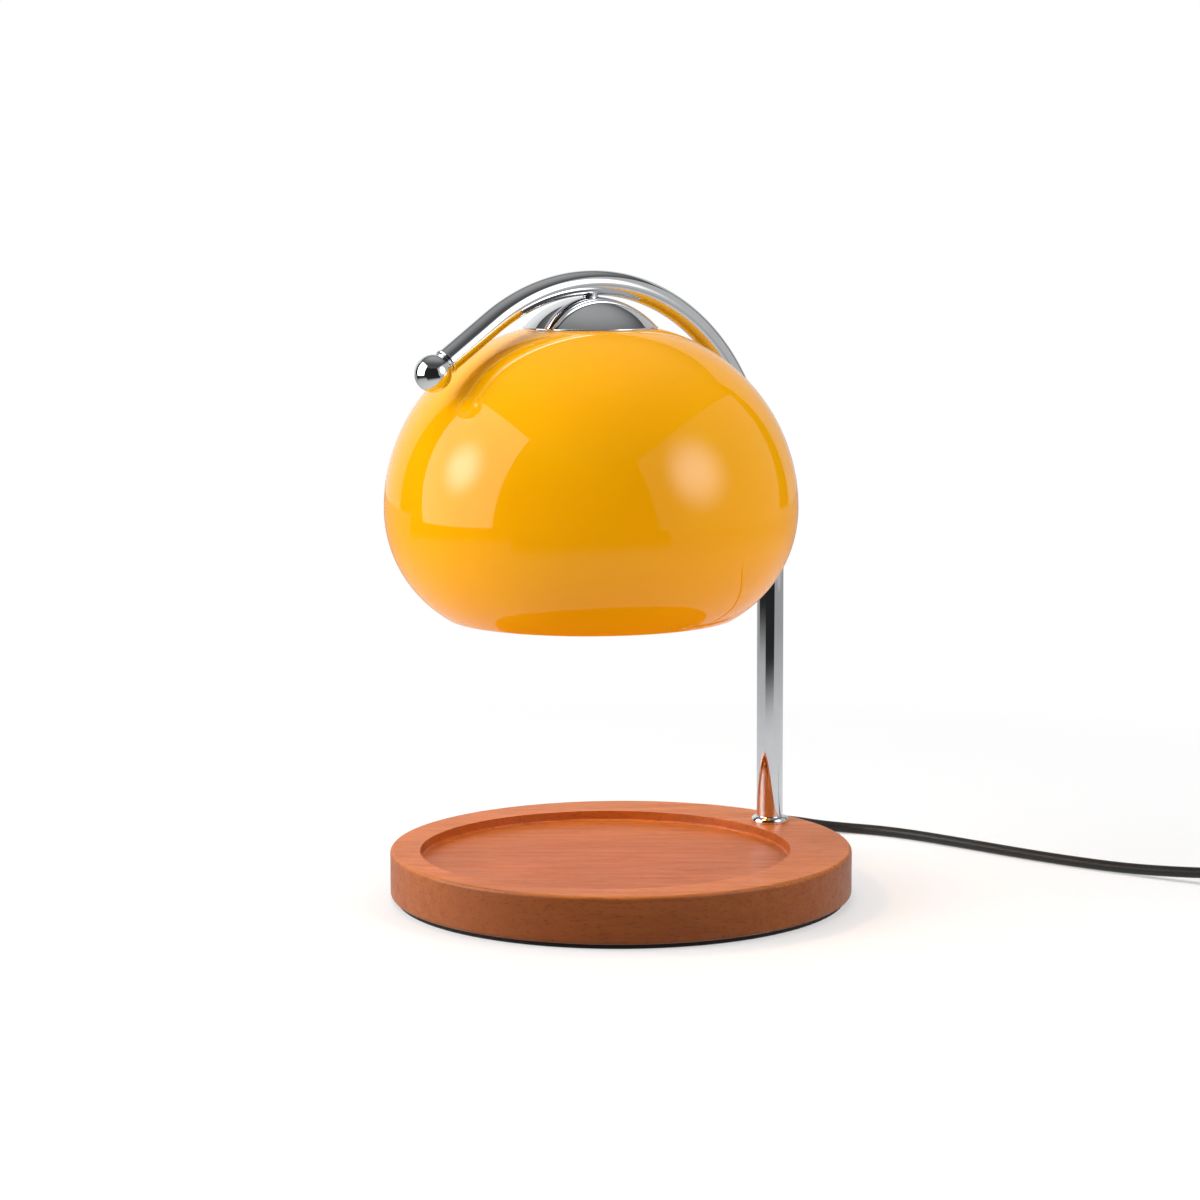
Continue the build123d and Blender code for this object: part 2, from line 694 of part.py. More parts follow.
block_end = cavity_along - running_gap
block_low = cover_top + terminal_clear - cord_height
block = Box(terminal_length, terminal_width, roof - block_low, align=(Align.MAX, Align.CENTER, Align.MIN))
block = Pos(block_end, 0, block_low) * block
screw_low = block_low + terminal_screw_sunk
screw_high = block_low + terminal_screw_depth
terminal_screws = []
for side in (1, -1):
    x = block_end - terminal_screw_inset
    y = side * terminal_width / 4
    block -= rod(terminal_screw_radius, block_low - overrun, screw_high, x, y)
    terminal_screws.append(rod(terminal_screw_radius - fit_gap, screw_low, screw_high, x, y))
parts["terminal_block"] = cord_frame.location * block
parts["terminal_screws"] = Compound(children=[cord_frame.location * screw for screw in terminal_screws])

lead_z = (cover_top + nipple_bottom) / 2
lead_side = Vector(cord_dir.Y, -cord_dir.X, 0)
lead_start = cord_dir * (block_end - terminal_length / 2) + Vector(0, 0, lead_z)
lead_start = lead_start + lead_side * (terminal_width / 2 + running_gap)
lead_path = FilletPolyline(
    lead_start,
    lead_start + lead_side * lead_run,
    (stem_x, 0, lead_z),
    (stem_x, 0, nipple_top - lead_below_top),
    radius=[lead_side_bend, lead_up_bend],
)
parts["stem_leads"] = swept(lead_radius, lead_path)


# Free stretches of the lead
def stretch(name, points):
    """A cord along straight runs joined by arcs as large as the runs allow."""
    arc_share = 0.45
    spots = [Vector(*p) for p in points]
    runs = [b - a for a, b in zip(spots, spots[1:])]
    radii = []
    for a, b in zip(runs, runs[1:]):
        shorter = min(a.length, b.length)
        radii.append(arc_share * shorter / tan(radians(a.get_angle(b)) / 2))
    path = FilletPolyline(*spots, radius=radii)
    print(name, "length", round(path.length, 1), "radii", [round(r, 1) for r in radii])
    bar = swept(cord_radius, path)
    ratio = bar.volume / (pi * cord_radius**2 * path.length)
    print(name, "volume over section times length", round(ratio, 4))
    return bar


relief_tip = cord_dir * relief_end + Vector(0, 0, cord_height)
dimmer_start = Vector(dimmer_x, dimmer_y, 0)
dimmer_in = dimmer_start + dimmer_dir * cord_entry + Vector(0, 0, dimmer_split)
dimmer_out = dimmer_start + dimmer_dir * (dimmer_length - cord_entry) + Vector(0, 0, dimmer_split)
coil_start = Vector(coil_x - 2 * cord_radius - fit_gap, coil_y - coil_radius, cord_lift)
dimmer_mouth = dimmer_in - dimmer_dir * (cord_entry + mouth_run)
dimmer_tail = dimmer_out + dimmer_dir * (cord_entry + mouth_run)
parts["cord_strand"] = stretch("cord_strand", [relief_tip, *strand_points, dimmer_mouth, dimmer_in])
parts["cord_link"] = stretch("cord_link", [dimmer_out, dimmer_tail, *link_points, coil_start])

# Dimmer: two shells, board, screws and a knob
dimmer_frame = Plane(dimmer_start, x_dir=dimmer_dir, z_dir=(0, 0, 1))
case = Box(dimmer_length, dimmer_width, dimmer_height, align=from_corner)
case = fillet(case.edges().filter_by(Axis.Z), dimmer_round)
case = fillet(case.edges().group_by(Axis.Z)[-1], dimmer_top_round)
hollow_length = dimmer_length - 2 * dimmer_wall
hollow_width = dimmer_width - 2 * dimmer_wall
hollow_height = dimmer_height - 2 * dimmer_wall
hollow = Box(hollow_length, hollow_width, hollow_height, align=from_corner)
hollow = fillet(hollow.edges().filter_by(Axis.Z), dimmer_round - dimmer_wall)
case -= Pos(dimmer_wall, 0, dimmer_wall) * hollow
case -= Pos(0, 0, dimmer_split) * lying_rod(bore, -overrun, dimmer_length + overrun)
lower_half = Box(2 * dimmer_length, 2 * dimmer_width, dimmer_split, align=on_floor)
knob_x = dimmer_length / 2
board_low = dimmer_wall + board_height
post_y = hollow_width / 2 - dimmer_post_radius + dimmer_post_sink
post_ends = (dimmer_post_inset, dimmer_length - dimmer_post_inset)
case_posts = [(x, y) for x in post_ends for y in (post_y, -post_y)]
post_top = dimmer_height - dimmer_wall
screw_top = post_top - dimmer_wall
screw_bore = dimmer_screw_radius + fit_gap
lower_case = case & lower_half
upper_case = case - lower_half
dimmer_screws = []
for x, y in case_posts:
    lower_case += rod(dimmer_post_radius, dimmer_wall, dimmer_split, x, y)
    lower_case -= rod(screw_bore, -overrun, dimmer_split + overrun, x, y)
    lower_case -= rod(dimmer_screw_head_radius, -overrun, dimmer_wall, x, y)
    upper_case += rod(dimmer_post_radius, dimmer_split, post_top, x, y)
    upper_case -= rod(screw_bore, dimmer_split - overrun, screw_top, x, y)
    head = rod(dimmer_screw_head_radius - fit_gap, dimmer_wall / 2, dimmer_wall, x, y)
    shank = rod(dimmer_screw_radius, dimmer_wall, screw_top - running_gap, x, y)
    dimmer_screws.append(head + shank)
upper_case -= rod(spindle_radius + running_gap, dimmer_split, dimmer_height + overrun, knob_x)
board_length = dimmer_length - 2 * (dimmer_post_inset + dimmer_post_radius + board_gap)
board = Box(board_length, hollow_width - 2 * running_gap, board_thickness, align=on_floor)
board = Pos(knob_x, 0, board_low) * board
pot_top = board_low + board_thickness + potentiometer_height
board_top = board_low + board_thickness
board += rod(potentiometer_radius, board_top, pot_top, knob_x)
board -= rod(spindle_radius + slide_gap, board_top, pot_top + overrun, knob_x)
foot_reach = board_length / 2 - board_foot_inset
for x in (knob_x - foot_reach, knob_x + foot_reach):
    board += rod(board_foot_radius, dimmer_wall, board_low, x)
knob_low = dimmer_height + running_gap
knob_top = knob_low + knob_height
knob = rod(knob_radius, knob_low, knob_top, knob_x)
knob = fillet(knob.edges().group_by(Axis.Z)[-1], knob_round)
knob += rod(spindle_radius, board_top + running_gap, knob_low, knob_x)
marker_length = knob_radius - marker_margin - marker_inner
marker = Box(marker_length, marker_width, 2 * marker_depth, align=from_start)
knob -= Pos(knob_x + marker_inner, 0, knob_top) * marker
dimmer_place = dimmer_frame.location
parts["dimmer_lower_case"] = dimmer_place * lower_case
parts["dimmer_upper_case"] = dimmer_place * upper_case
parts["dimmer_board"] = dimmer_place * board
parts["dimmer_screws"] = Compound(children=[dimmer_place * screw for screw in dimmer_screws])
parts["dimmer_knob"] = dimmer_place * knob


# Coil: half turns that spiral in on the floor, climb a layer and spiral out on top
def coil_turns():
    """Half turns as (start, middle, end) points, then the quarter turn to the plug."""
    turns = []
    y = -coil_radius
    side = 1
    last = 2 * coil_half_turns
    for k in range(last + 1):
        radius = coil_radius - min(k, last - k) * layer_step / 2
        low = cord_lift + (layer_step if k > coil_half_turns else 0)
        high = cord_lift + (layer_step if k >= coil_half_turns else 0)
        centre = y + side * radius
        middle = (side * radius, centre, (low + high) / 2)
        turns.append(((0, y, low), middle, (0, centre + side * radius, high)))
        y = centre + side * radius
        side = -side
    return turns


turns = coil_turns()
coil_place = Pos(coil_x, coil_y, 0)
lead_in = Line((-2 * cord_radius, -coil_radius, cord_lift), turns[0][0])
coil_edges = [lead_in] + [ThreePointArc(*t) for t in turns]
_, last_y, last_z = turns[-1][0]
quarter = CenterArc((0, last_y + coil_radius, last_z), coil_radius, -90, 90)
coil_edges[-1] = quarter
coil_exit = quarter @ 1
lead_out_end = coil_exit + Vector(0, 2 * cord_radius, 0)
coil_edges.append(Line(coil_exit, lead_out_end))
coil_path = Wire(coil_edges)
parts["cord_coil"] = coil_place * swept(cord_radius, coil_path)

coil_spots = []
travelled = 0.0
for edge in coil_edges:
    count = max(2, int(edge.length / coil_sample))
    for i in range(count):
        coil_spots.append((travelled + edge.length * i / count, edge @ (i / count)))
    travelled += edge.length
least = min(
    (p - q).length - 2 * cord_radius
    for i, (s, p) in enumerate(coil_spots)
    for t, q in coil_spots[i + 1 :]
    if t - s > 6 * cord_radius
)
print("cord_coil length", round(travelled, 1), "least gap to itself", round(least, 2))

# Tie round the coil's bundle, on the left side of the turns
near_tie = [p for _, p in coil_spots if p.X < 0 and abs(p.Y) < tie_width / 2 + coil_sample]
bundle_in = min(-p.X for p in near_tie) - cord_radius - tie_gap
bundle_out = max(-p.X for p in near_tie) + cord_radius + tie_gap
bundle_low = tie_thickness + tie_lift
bundle_high = cord_lift + layer_step + cord_radius + tie_gap
opening = Box(bundle_out - bundle_in, tie_width + overrun, bundle_high - bundle_low, align=on_floor)
band = Box(
    bundle_out - bundle_in + 2 * tie_thickness,
    tie_width,
    bundle_high - bundle_low + 2 * tie_thickness,
    align=on_floor,
)
band = fillet(band.edges().filter_by(Axis.Y), tie_round)
band -= Pos(0, 0, tie_thickness) * opening
tie_x = -(bundle_in + bundle_out) / 2
parts["coil_tie"] = coil_place * (Pos(tie_x, 0, tie_lift) * band)

# Plug at the far end
plug_z = plug_height / 2
tail_begin = lead_out_end + Vector(coil_x, coil_y + fit_gap, 0)
drop = plug_z - tail_begin.Z
tail_points = [
    tail_begin,
    tail_begin + Vector(0, tail_straight, 0),
    tail_begin + Vector(0, tail_run - tail_straight, drop),
    tail_begin + Vector(0, tail_run, drop),
]
parts["cord_plug_tail"] = stretch("cord_plug_tail", tail_points)
plug_frame = Plane(tail_points[-1], x_dir=(0, 1, 0), z_dir=(0, 0, 1))
body = Pos(plug_relief_length, 0, 0) * Box(plug_length, plug_width, plug_height, align=from_start)
body = fillet(body.edges().filter_by(Axis.X), plug_round)
body = fillet(body.edges().group_by(Axis.X)[0], plug_back_round)
plug_taper = Cone(plug_relief_tip, plug_relief_root, plug_relief_length, rotation=(0, 90, 0), align=on_floor)
blades = []
for side in (1, -1):
    blade_place = Pos(plug_relief_length + plug_length - blade_root, side * blade_spacing / 2, 0)
    blade = Box(blade_root + blade_length, blade_thickness, blade_width, align=from_start)
    blade = fillet(blade.edges().filter_by(Axis.Y).group_by(Axis.X)[-1], blade_round)
    slot_size = (blade_root + overrun, blade_thickness + 2 * fit_gap, blade_width + 2 * fit_gap)
    body -= blade_place * Box(*slot_size, align=from_start)
    blades.append(blade_place * blade)
parts["plug_body"] = plug_frame.location * body
parts["plug_relief"] = plug_frame.location * plug_taper
parts["plug_blades"] = Compound(children=[plug_frame.location * blade for blade in blades])

os.makedirs("parts", exist_ok=True)
for node, solid in parts.items():
    export_step(solid, f"parts/{node}.step")
print(len(parts), "nodes; overall height", round(apex_z + arch_radius, 1), "equator", round(equator_z, 1))
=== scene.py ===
import json
from math import acos, asin, cos, pi, radians, sin, sqrt

import bmesh
import bpy
from mathutils import Matrix, Quaternion, Vector


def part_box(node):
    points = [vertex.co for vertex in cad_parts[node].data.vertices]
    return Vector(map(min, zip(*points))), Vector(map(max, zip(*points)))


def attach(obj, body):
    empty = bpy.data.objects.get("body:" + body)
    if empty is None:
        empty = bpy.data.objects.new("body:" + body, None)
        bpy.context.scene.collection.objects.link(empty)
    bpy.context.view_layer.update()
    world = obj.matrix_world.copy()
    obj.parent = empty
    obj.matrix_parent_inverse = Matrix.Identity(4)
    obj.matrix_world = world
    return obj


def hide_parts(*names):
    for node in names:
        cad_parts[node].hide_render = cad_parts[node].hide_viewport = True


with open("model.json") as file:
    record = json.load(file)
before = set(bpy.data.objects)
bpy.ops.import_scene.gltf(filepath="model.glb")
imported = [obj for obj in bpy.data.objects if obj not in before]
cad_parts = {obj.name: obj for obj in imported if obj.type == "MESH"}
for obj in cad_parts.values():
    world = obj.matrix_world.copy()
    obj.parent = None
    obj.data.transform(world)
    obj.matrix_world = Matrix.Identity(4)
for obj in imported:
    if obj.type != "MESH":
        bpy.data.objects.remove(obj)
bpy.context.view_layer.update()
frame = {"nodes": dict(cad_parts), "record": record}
nodes = frame["nodes"]

# Lengths are in metres and angles are written in degrees. The frame is the part's own: the origin is the
# centre of the base's underside, +Z is up, the stem stands at +X and the arch's ball end points to -X.

# Camera, its sensor and lens in millimetres
CAMERA_PLACE = Vector((-0.8153, -1.0748, 0.3109))
CAMERA_AIM = Vector((-0.0141, -0.0044, 0.1311))
CAMERA_SENSOR = 36.0
CAMERA_LENS = 95.02
CAMERA_ROLL = -0.22

# Lead: the points of its route, from the strain relief to the dimmer and on through the coil to the plug
CORD_DIAMETER = 0.0048
RELIEF_TIP = (0.11687, 0.04722, 0.009)
STRAND_POINTS = [
    (0.1270, 0.0513, 0.0090),
    (0.1410, 0.0515, 0.0066),
    (0.1541, 0.0465, 0.0036),
    (0.1643, 0.0370, 0.0025),
    (0.1718, 0.0240, 0.0025),
    (0.1780, 0.0060, 0.0025),
    (0.1830, -0.0195, 0.0025),
    (0.1887, -0.0520, 0.0025),
    (0.1952, -0.0805, 0.0025),
    (0.2030, -0.1065, 0.0027),
    (0.2120, -0.1320, 0.0042),
    (0.2206, -0.15284, 0.0062),
]
DIMMER_IN = (0.22694, -0.16644, 0.0062)
DIMMER_OUT = (0.24891, -0.21357, 0.0062)
LINK_POINTS = [
    (0.25525, -0.22716, 0.0062),
    (0.2667, -0.2383, 0.0048),
    (0.2817, -0.2438, 0.0035),
]
COIL_CENTRE = (0.3015, -0.2073)
COIL_RADIUS = 0.0365
COIL_HALF_TURNS = 6
COIL_STEP = 0.0053
COIL_FLOOR = 0.00345
COIL_POINTS = 12
PLUG_TAIL_POINTS = [
    (0.3380, -0.19445, 0.00875),
    (0.3380, -0.18045, 0.0085),
    (0.3380, -0.17245, 0.0085),
]


def link(name, data, body=None):
    """A new object in the scene, riding on a body if one is named."""
    obj = bpy.data.objects.new(name, data)
    bpy.context.scene.collection.objects.link(obj)
    if body:
        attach(obj, body)
    return obj


def add_camera():
    """The camera at the photograph's place, turned by the photograph's slight roll."""
    data = bpy.data.cameras.new("camera")
    data.sensor_width = CAMERA_SENSOR
    data.lens = CAMERA_LENS
    camera = link("camera", data)
    look = (CAMERA_AIM - CAMERA_PLACE).to_track_quat("-Z", "Y")
    camera.rotation_mode = "QUATERNION"
    camera.rotation_quaternion = look @ Quaternion((0, 0, 1), radians(CAMERA_ROLL))
    camera.location = CAMERA_PLACE
    bpy.context.scene.camera = camera


# Node helpers for materials. Most of a noise's values lie in its band, and tone is broader than grain.
NOISE_BAND = (0.3, 0.7)
BROADER = 12


def new_material(name):
    """A material with its node tree and its principled shader."""
    material = bpy.data.materials.new(name)
    material.use_nodes = True
    tree = material.node_tree
    shader = tree.nodes["Principled BSDF"]
    return material, tree, shader


def noise(tree, scale, detail=4.0, roughness=0.55, stretch=(1, 1, 1), turn=0.0, wave=0.0):
    """Noise in the part's own coordinates, stretched along its axes, turned about Z and bent by a wave."""
    coordinates = tree.nodes.new("ShaderNodeTexCoord")
    mapping = tree.nodes.new("ShaderNodeMapping")
    mapping.vector_type = "TEXTURE"
    mapping.inputs["Rotation"].default_value = (0, 0, radians(turn))
    mapping.inputs["Scale"].default_value = stretch
    texture = tree.nodes.new("ShaderNodeTexNoise")
    texture.inputs["Scale"].default_value = scale
    texture.inputs["Detail"].default_value = detail
    texture.inputs["Roughness"].default_value = roughness
    texture.inputs["Distortion"].default_value = wave
    tree.links.new(coordinates.outputs["Object"], mapping.inputs["Vector"])
    tree.links.new(mapping.outputs["Vector"], texture.inputs["Vector"])
    return texture.outputs["Fac"]


def remap(tree, value, low, high, to_low=0.0, to_high=1.0):
    """A value moved from one range to another, held at the ends."""
    node = tree.nodes.new("ShaderNodeMapRange")
    node.inputs["From Min"].default_value = low
    node.inputs["From Max"].default_value = high
    node.inputs["To Min"].default_value = to_low
    node.inputs["To Max"].default_value = to_high
    tree.links.new(value, node.inputs["Value"])
    return node.outputs["Result"]


def blend_colors(tree, factor, first, second, blend="MIX"):
    """Two colours or colour sockets mixed by a factor."""
    node = tree.nodes.new("ShaderNodeMix")
    node.data_type = "RGBA"
    node.blend_type = blend
    if isinstance(factor, float):
        node.inputs["Factor"].default_value = factor
    else:
        tree.links.new(factor, node.inputs["Factor"])
    for socket, color in ((node.inputs[6], first), (node.inputs[7], second)):
        if isinstance(color, tuple):
            socket.default_value = (*color, 1.0)
        else:
            tree.links.new(color, socket)
    return node.outputs[2]


def product(tree, first, second):
    """Two values multiplied."""
    node = tree.nodes.new("ShaderNodeMath")
    node.operation = "MULTIPLY"
    tree.links.new(first, node.inputs[0])
    tree.links.new(second, node.inputs[1])
    return node.outputs[0]


def part_height(tree):
    """A point's height in the part's own coordinates."""
    coordinates = tree.nodes.new("ShaderNodeTexCoord")
    axes = tree.nodes.new("ShaderNodeSeparateXYZ")
    tree.links.new(coordinates.outputs["Object"], axes.inputs[0])
    return axes.outputs["Z"]


def bump(tree, shader, height, distance, strength=1.0):
    """Bump from a height socket."""
    node = tree.nodes.new("ShaderNodeBump")
    node.inputs["Strength"].default_value = strength
    node.inputs["Distance"].default_value = distance
    tree.links.new(height, node.inputs["Height"])
    tree.links.new(node.outputs["Normal"], shader.inputs["Normal"])


def speckled(name, dark, light, roughness, metallic=0.0, scale=400.0, grain=0.00004):
    """A plain material with a little tone, gloss and grain: dark and light are its two tones."""
    material, tree, shader = new_material(name)
    fine = noise(tree, scale)
    broad = noise(tree, scale / BROADER)
    color = blend_colors(tree, remap(tree, broad, *NOISE_BAND), dark, light)
    tree.links.new(color, shader.inputs["Base Color"])
    tree.links.new(remap(tree, fine, *NOISE_BAND, *roughness), shader.inputs["Roughness"])
    shader.inputs["Metallic"].default_value = metallic
    bump(tree, shader, fine, grain)
    return material


# Materials. A band is a range of noise, and a share is what that range is turned into.
WOOD_TURN = -36.8
WOOD_BROAD = {"scale": 16.0, "detail": 3.0, "stretch": (2.5, 1, 1), "wave": 0.4}
WOOD_STREAK = {"scale": 260.0, "detail": 6.0, "roughness": 0.65, "stretch": (9.0, 1, 1), "wave": 0.5}
WOOD_PORES = {"scale": 1100.0, "detail": 2.0, "stretch": (6.0, 1, 1)}
WOOD_TONE_BAND = (0.32, 0.68)
WOOD_TONE_SHARE = (0.25, 1.0)
WOOD_STREAK_BAND = (0.44, 0.70)
WOOD_STREAK_SHARE = (0.0, 0.62)
WOOD_PORE_BAND = (0.55, 0.72)
WOOD_PORE_SHARE = (0.0, 0.55)
WOOD_UPWARD_BAND = (0.25, 0.85)
WOOD_ROUGHNESS = (0.36, 0.50)
WOOD_PORE_BUMP = (0.00008, 0.6)
WOOD_IOR = 1.5
WOOD_LIGHT = (0.60, 0.188, 0.034)
WOOD_DARK = (0.40, 0.112, 0.017)
WOOD_PORE = (0.20, 0.048, 0.006)
# Painted shade: this colour darkens the base's upright side
WOOD_SIDE_SHADE = (0.79, 0.64, 0.49)
# Painted shade: this colour darkens the tray's floor, in its recess
WOOD_TRAY_SHADE = (0.84, 0.82, 0.84)
WOOD_GLOSS = 0.40
TRAY_DEPTH = 0.0045
TRAY_ROUND = 0.0012


def wood_material():
    """Stained fine-grained wood under a satin lacquer: broad tone, streaks and short pores.

    The upright side is darkened as painted shade, and the tray's floor as painted shade in its recess.
    """
    material, tree, shader = new_material("stained_wood")
    broad = noise(tree, turn=WOOD_TURN, **WOOD_BROAD)
    streak = noise(tree, turn=WOOD_TURN, **WOOD_STREAK)
    pore = noise(tree, turn=WOOD_TURN, **WOOD_PORES)
    tone_share = remap(tree, broad, *WOOD_TONE_BAND, *WOOD_TONE_SHARE)
    streak_share = remap(tree, streak, *WOOD_STREAK_BAND, *WOOD_STREAK_SHARE)
    pore_share = remap(tree, pore, *WOOD_PORE_BAND, *WOOD_PORE_SHARE)
    tone = blend_colors(tree, tone_share, WOOD_DARK, WOOD_LIGHT)
    streaked = blend_colors(tree, streak_share, tone, WOOD_DARK)
    pored = blend_colors(tree, pore_share, streaked, WOOD_PORE)
    geometry = tree.nodes.new("ShaderNodeNewGeometry")
    axes = tree.nodes.new("ShaderNodeSeparateXYZ")
    tree.links.new(geometry.outputs["Normal"], axes.inputs[0])
    upward = tree.nodes.new("ShaderNodeMath")
    upward.operation = "ABSOLUTE"
    tree.links.new(axes.outputs["Z"], upward.inputs[0])
    # Painted shade on upright faces
    side_shade = remap(tree, upward.outputs[0], *WOOD_UPWARD_BAND, 1.0, 0.0)
    turned = blend_colors(tree, side_shade, pored, WOOD_SIDE_SHADE, "MULTIPLY")
    tray_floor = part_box("wooden_base")[1].z - TRAY_DEPTH
    # Painted shade on the tray's floor, in its recess
    low = remap(tree, part_height(tree), tray_floor, tray_floor + TRAY_ROUND, 1.0, 0.0)
    tray_shade = product(tree, low, remap(tree, upward.outputs[0], *WOOD_UPWARD_BAND))
    color = blend_colors(tree, tray_shade, turned, WOOD_TRAY_SHADE, "MULTIPLY")
    tree.links.new(color, shader.inputs["Base Color"])
    tree.links.new(remap(tree, streak, *NOISE_BAND, *WOOD_ROUGHNESS), shader.inputs["Roughness"])
    shader.inputs["IOR"].default_value = WOOD_IOR
    shader.inputs["Specular IOR Level"].default_value = WOOD_GLOSS
    bump(tree, shader, pore, *WOOD_PORE_BUMP)
    return material


CHROME_DARK = (0.78, 0.79, 0.81)
CHROME_LIGHT = (0.84, 0.85, 0.87)
CHROME_SMEAR = {"scale": 90.0, "detail": 3.0}
CHROME_SMEAR_BAND = (0.35, 0.7)
CHROME_ROUGHNESS = (0.025, 0.06)


def chrome_material():
    """Polished chrome with the faintest wipe marks."""
    material, tree, shader = new_material("chrome")
    smear = noise(tree, **CHROME_SMEAR)
    color = blend_colors(tree, remap(tree, smear, *NOISE_BAND), CHROME_DARK, CHROME_LIGHT)
    tree.links.new(color, shader.inputs["Base Color"])
    tree.links.new(remap(tree, smear, *CHROME_SMEAR_BAND, *CHROME_ROUGHNESS), shader.inputs["Roughness"])
    shader.inputs["Metallic"].default_value = 1.0
    return material


GLASS_DEEP = (0.87, 0.378, 0.0006)
GLASS_BRIGHT = (0.92, 0.426, 0.0010)
# Painted glow: the glass is no lamp, and this glow stands in for light through it, strongest at the bottom
GLASS_PAINTED_GLOW = (1.0, 0.28, 0.0)
GLASS_GLOSS = 0.34
GLASS_PAINTED_GLOW_LOW = 0.125
GLASS_PAINTED_GLOW_HIGH = 0.20
GLASS_PAINTED_GLOW_LEVELS = (0.33, 0.07)
GLASS_CLOUD = {"scale": 18.0, "detail": 3.0}
GLASS_RIPPLE = {"scale": 55.0, "detail": 2.0}
GLASS_RIPPLE_BUMP = (0.00005, 0.25)
GLASS_ROUGHNESS = (0.03, 0.05)
GLASS_IOR = 1.52


def glass_material():
    """Yellow-orange cased glass: opaque colour under a smooth skin, cloudy, with a painted glow, strongest
    below.
    """
    material, tree, shader = new_material("yellow_glass")
    cloud = noise(tree, **GLASS_CLOUD)
    ripple = noise(tree, **GLASS_RIPPLE)
    color = blend_colors(tree, remap(tree, cloud, *NOISE_BAND), GLASS_DEEP, GLASS_BRIGHT)
    tree.links.new(color, shader.inputs["Base Color"])
    tree.links.new(remap(tree, ripple, *NOISE_BAND, *GLASS_ROUGHNESS), shader.inputs["Roughness"])
    shader.inputs["IOR"].default_value = GLASS_IOR
    shader.inputs["Specular IOR Level"].default_value = GLASS_GLOSS
    shader.inputs["Emission Color"].default_value = (*GLASS_PAINTED_GLOW, 1.0)
    # Painted glow, fading from the shade's bottom upwards
    glow = remap(tree, part_height(tree), GLASS_PAINTED_GLOW_LOW, GLASS_PAINTED_GLOW_HIGH, *GLASS_PAINTED_GLOW_LEVELS)
    tree.links.new(glow, shader.inputs["Emission Strength"])
    bump(tree, shader, ripple, *GLASS_RIPPLE_BUMP)
    return material


BULB_GLOW = (1.0, 0.54, 0.18)
BULB_GLOW_LEVEL = 10.5
BULB_RIPPLE = {"scale": 900.0, "detail": 2.0}
BULB_RIPPLE_BUMP = 0.0001
BULB_ROUGHNESS = (0.05, 0.2)
BULB_TRANSMISSION = 0.9
BULB_IOR = 1.5


def clear_glass_material():
    """Clear glass with a slight ripple and a warm glow, for the bulb's lens and capsule."""
    material, tree, shader = new_material("bulb_glass")
    ripple = noise(tree, **BULB_RIPPLE)
    shader.inputs["Transmission Weight"].default_value = BULB_TRANSMISSION
    shader.inputs["IOR"].default_value = BULB_IOR
    shader.inputs["Emission Color"].default_value = (*BULB_GLOW, 1.0)
    shader.inputs["Emission Strength"].default_value = BULB_GLOW_LEVEL
    tree.links.new(remap(tree, ripple, *NOISE_BAND, *BULB_ROUGHNESS), shader.inputs["Roughness"])
    bump(tree, shader, ripple, BULB_RIPPLE_BUMP)
    return material


MATERIALS = {
    "stained_wood": wood_material(),
    "foam_pad": speckled(
        "foam_pad", (0.010, 0.007, 0.005), (0.018, 0.013, 0.010), (0.8, 0.95), scale=1500.0
    ),
    "cover_sheet": speckled("cover_sheet", (0.02, 0.02, 0.02), (0.035, 0.035, 0.035), (0.5, 0.65)),
    "chrome": chrome_material(),
    "plated_steel": speckled(
        "plated_steel", (0.50, 0.50, 0.50), (0.62, 0.62, 0.61), (0.25, 0.4), metallic=1.0, scale=600.0
    ),
    "bearing_plastic": speckled("bearing_plastic", (0.68, 0.66, 0.60), (0.76, 0.74, 0.69), (0.4, 0.55)),
    "silicone": speckled("silicone", (0.58, 0.58, 0.56), (0.66, 0.66, 0.64), (0.35, 0.5)),
    "yellow_glass": glass_material(),
    "ceramic": speckled("ceramic", (0.70, 0.67, 0.60), (0.80, 0.77, 0.70), (0.45, 0.7), scale=900.0),
    "bulb_mirror": speckled(
        "bulb_mirror", (0.70, 0.70, 0.70), (0.80, 0.80, 0.80), (0.12, 0.22), metallic=1.0, scale=300.0
    ),
    "bulb_glass": clear_glass_material(),
    "contact_brass": speckled(
        "contact_brass", (0.62, 0.50, 0.28), (0.72, 0.60, 0.36), (0.2, 0.35), metallic=1.0, scale=600.0
    ),
    "clear_block": speckled("clear_block", (0.66, 0.66, 0.63), (0.75, 0.75, 0.72), (0.4, 0.55)),
    "black_cord": speckled(
        "black_cord", (0.010, 0.010, 0.010), (0.018, 0.018, 0.018), (0.36, 0.5), scale=900.0
    ),
    "inner_flex": speckled("inner_flex", (0.58, 0.54, 0.46), (0.68, 0.64, 0.56), (0.5, 0.65)),
    "black_plastic": speckled(
        "black_plastic",
        (0.012, 0.012, 0.012),
        (0.022, 0.022, 0.022),
        (0.42, 0.58),
        scale=1800.0,
        grain=0.00006,
    ),
    "circuit_board": speckled("circuit_board", (0.012, 0.085, 0.03), (0.02, 0.13, 0.05), (0.35, 0.5)),
}


def paint_nodes():
    """Every carried-over node takes the material of its slot."""
    slots = {part["node"]: part["material_slot"] for part in frame["record"]["subparts"]}
    for name, node in nodes.items():
        node.data.materials.clear()
        node.data.materials.append(MATERIALS[slots[name]])


def dress(obj, slot, *replaced):
    """A new piece takes a slot's material and stands for CAD nodes."""
    obj.data.materials.append(MATERIALS[slot])
    if replaced:
        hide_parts(*replaced)
    return obj


# Mesh helpers. Segments are the sides of a round piece, from the shade's to the hanger neck's.
SHADE_SEGMENTS = 256
SEGMENTS = 192
TUBE_SEGMENTS = 128
SMALL_SEGMENTS = 96
NECK_SEGMENTS = 64
SHARP_ANGLE = 35.0
ON_AXIS = 1e-7


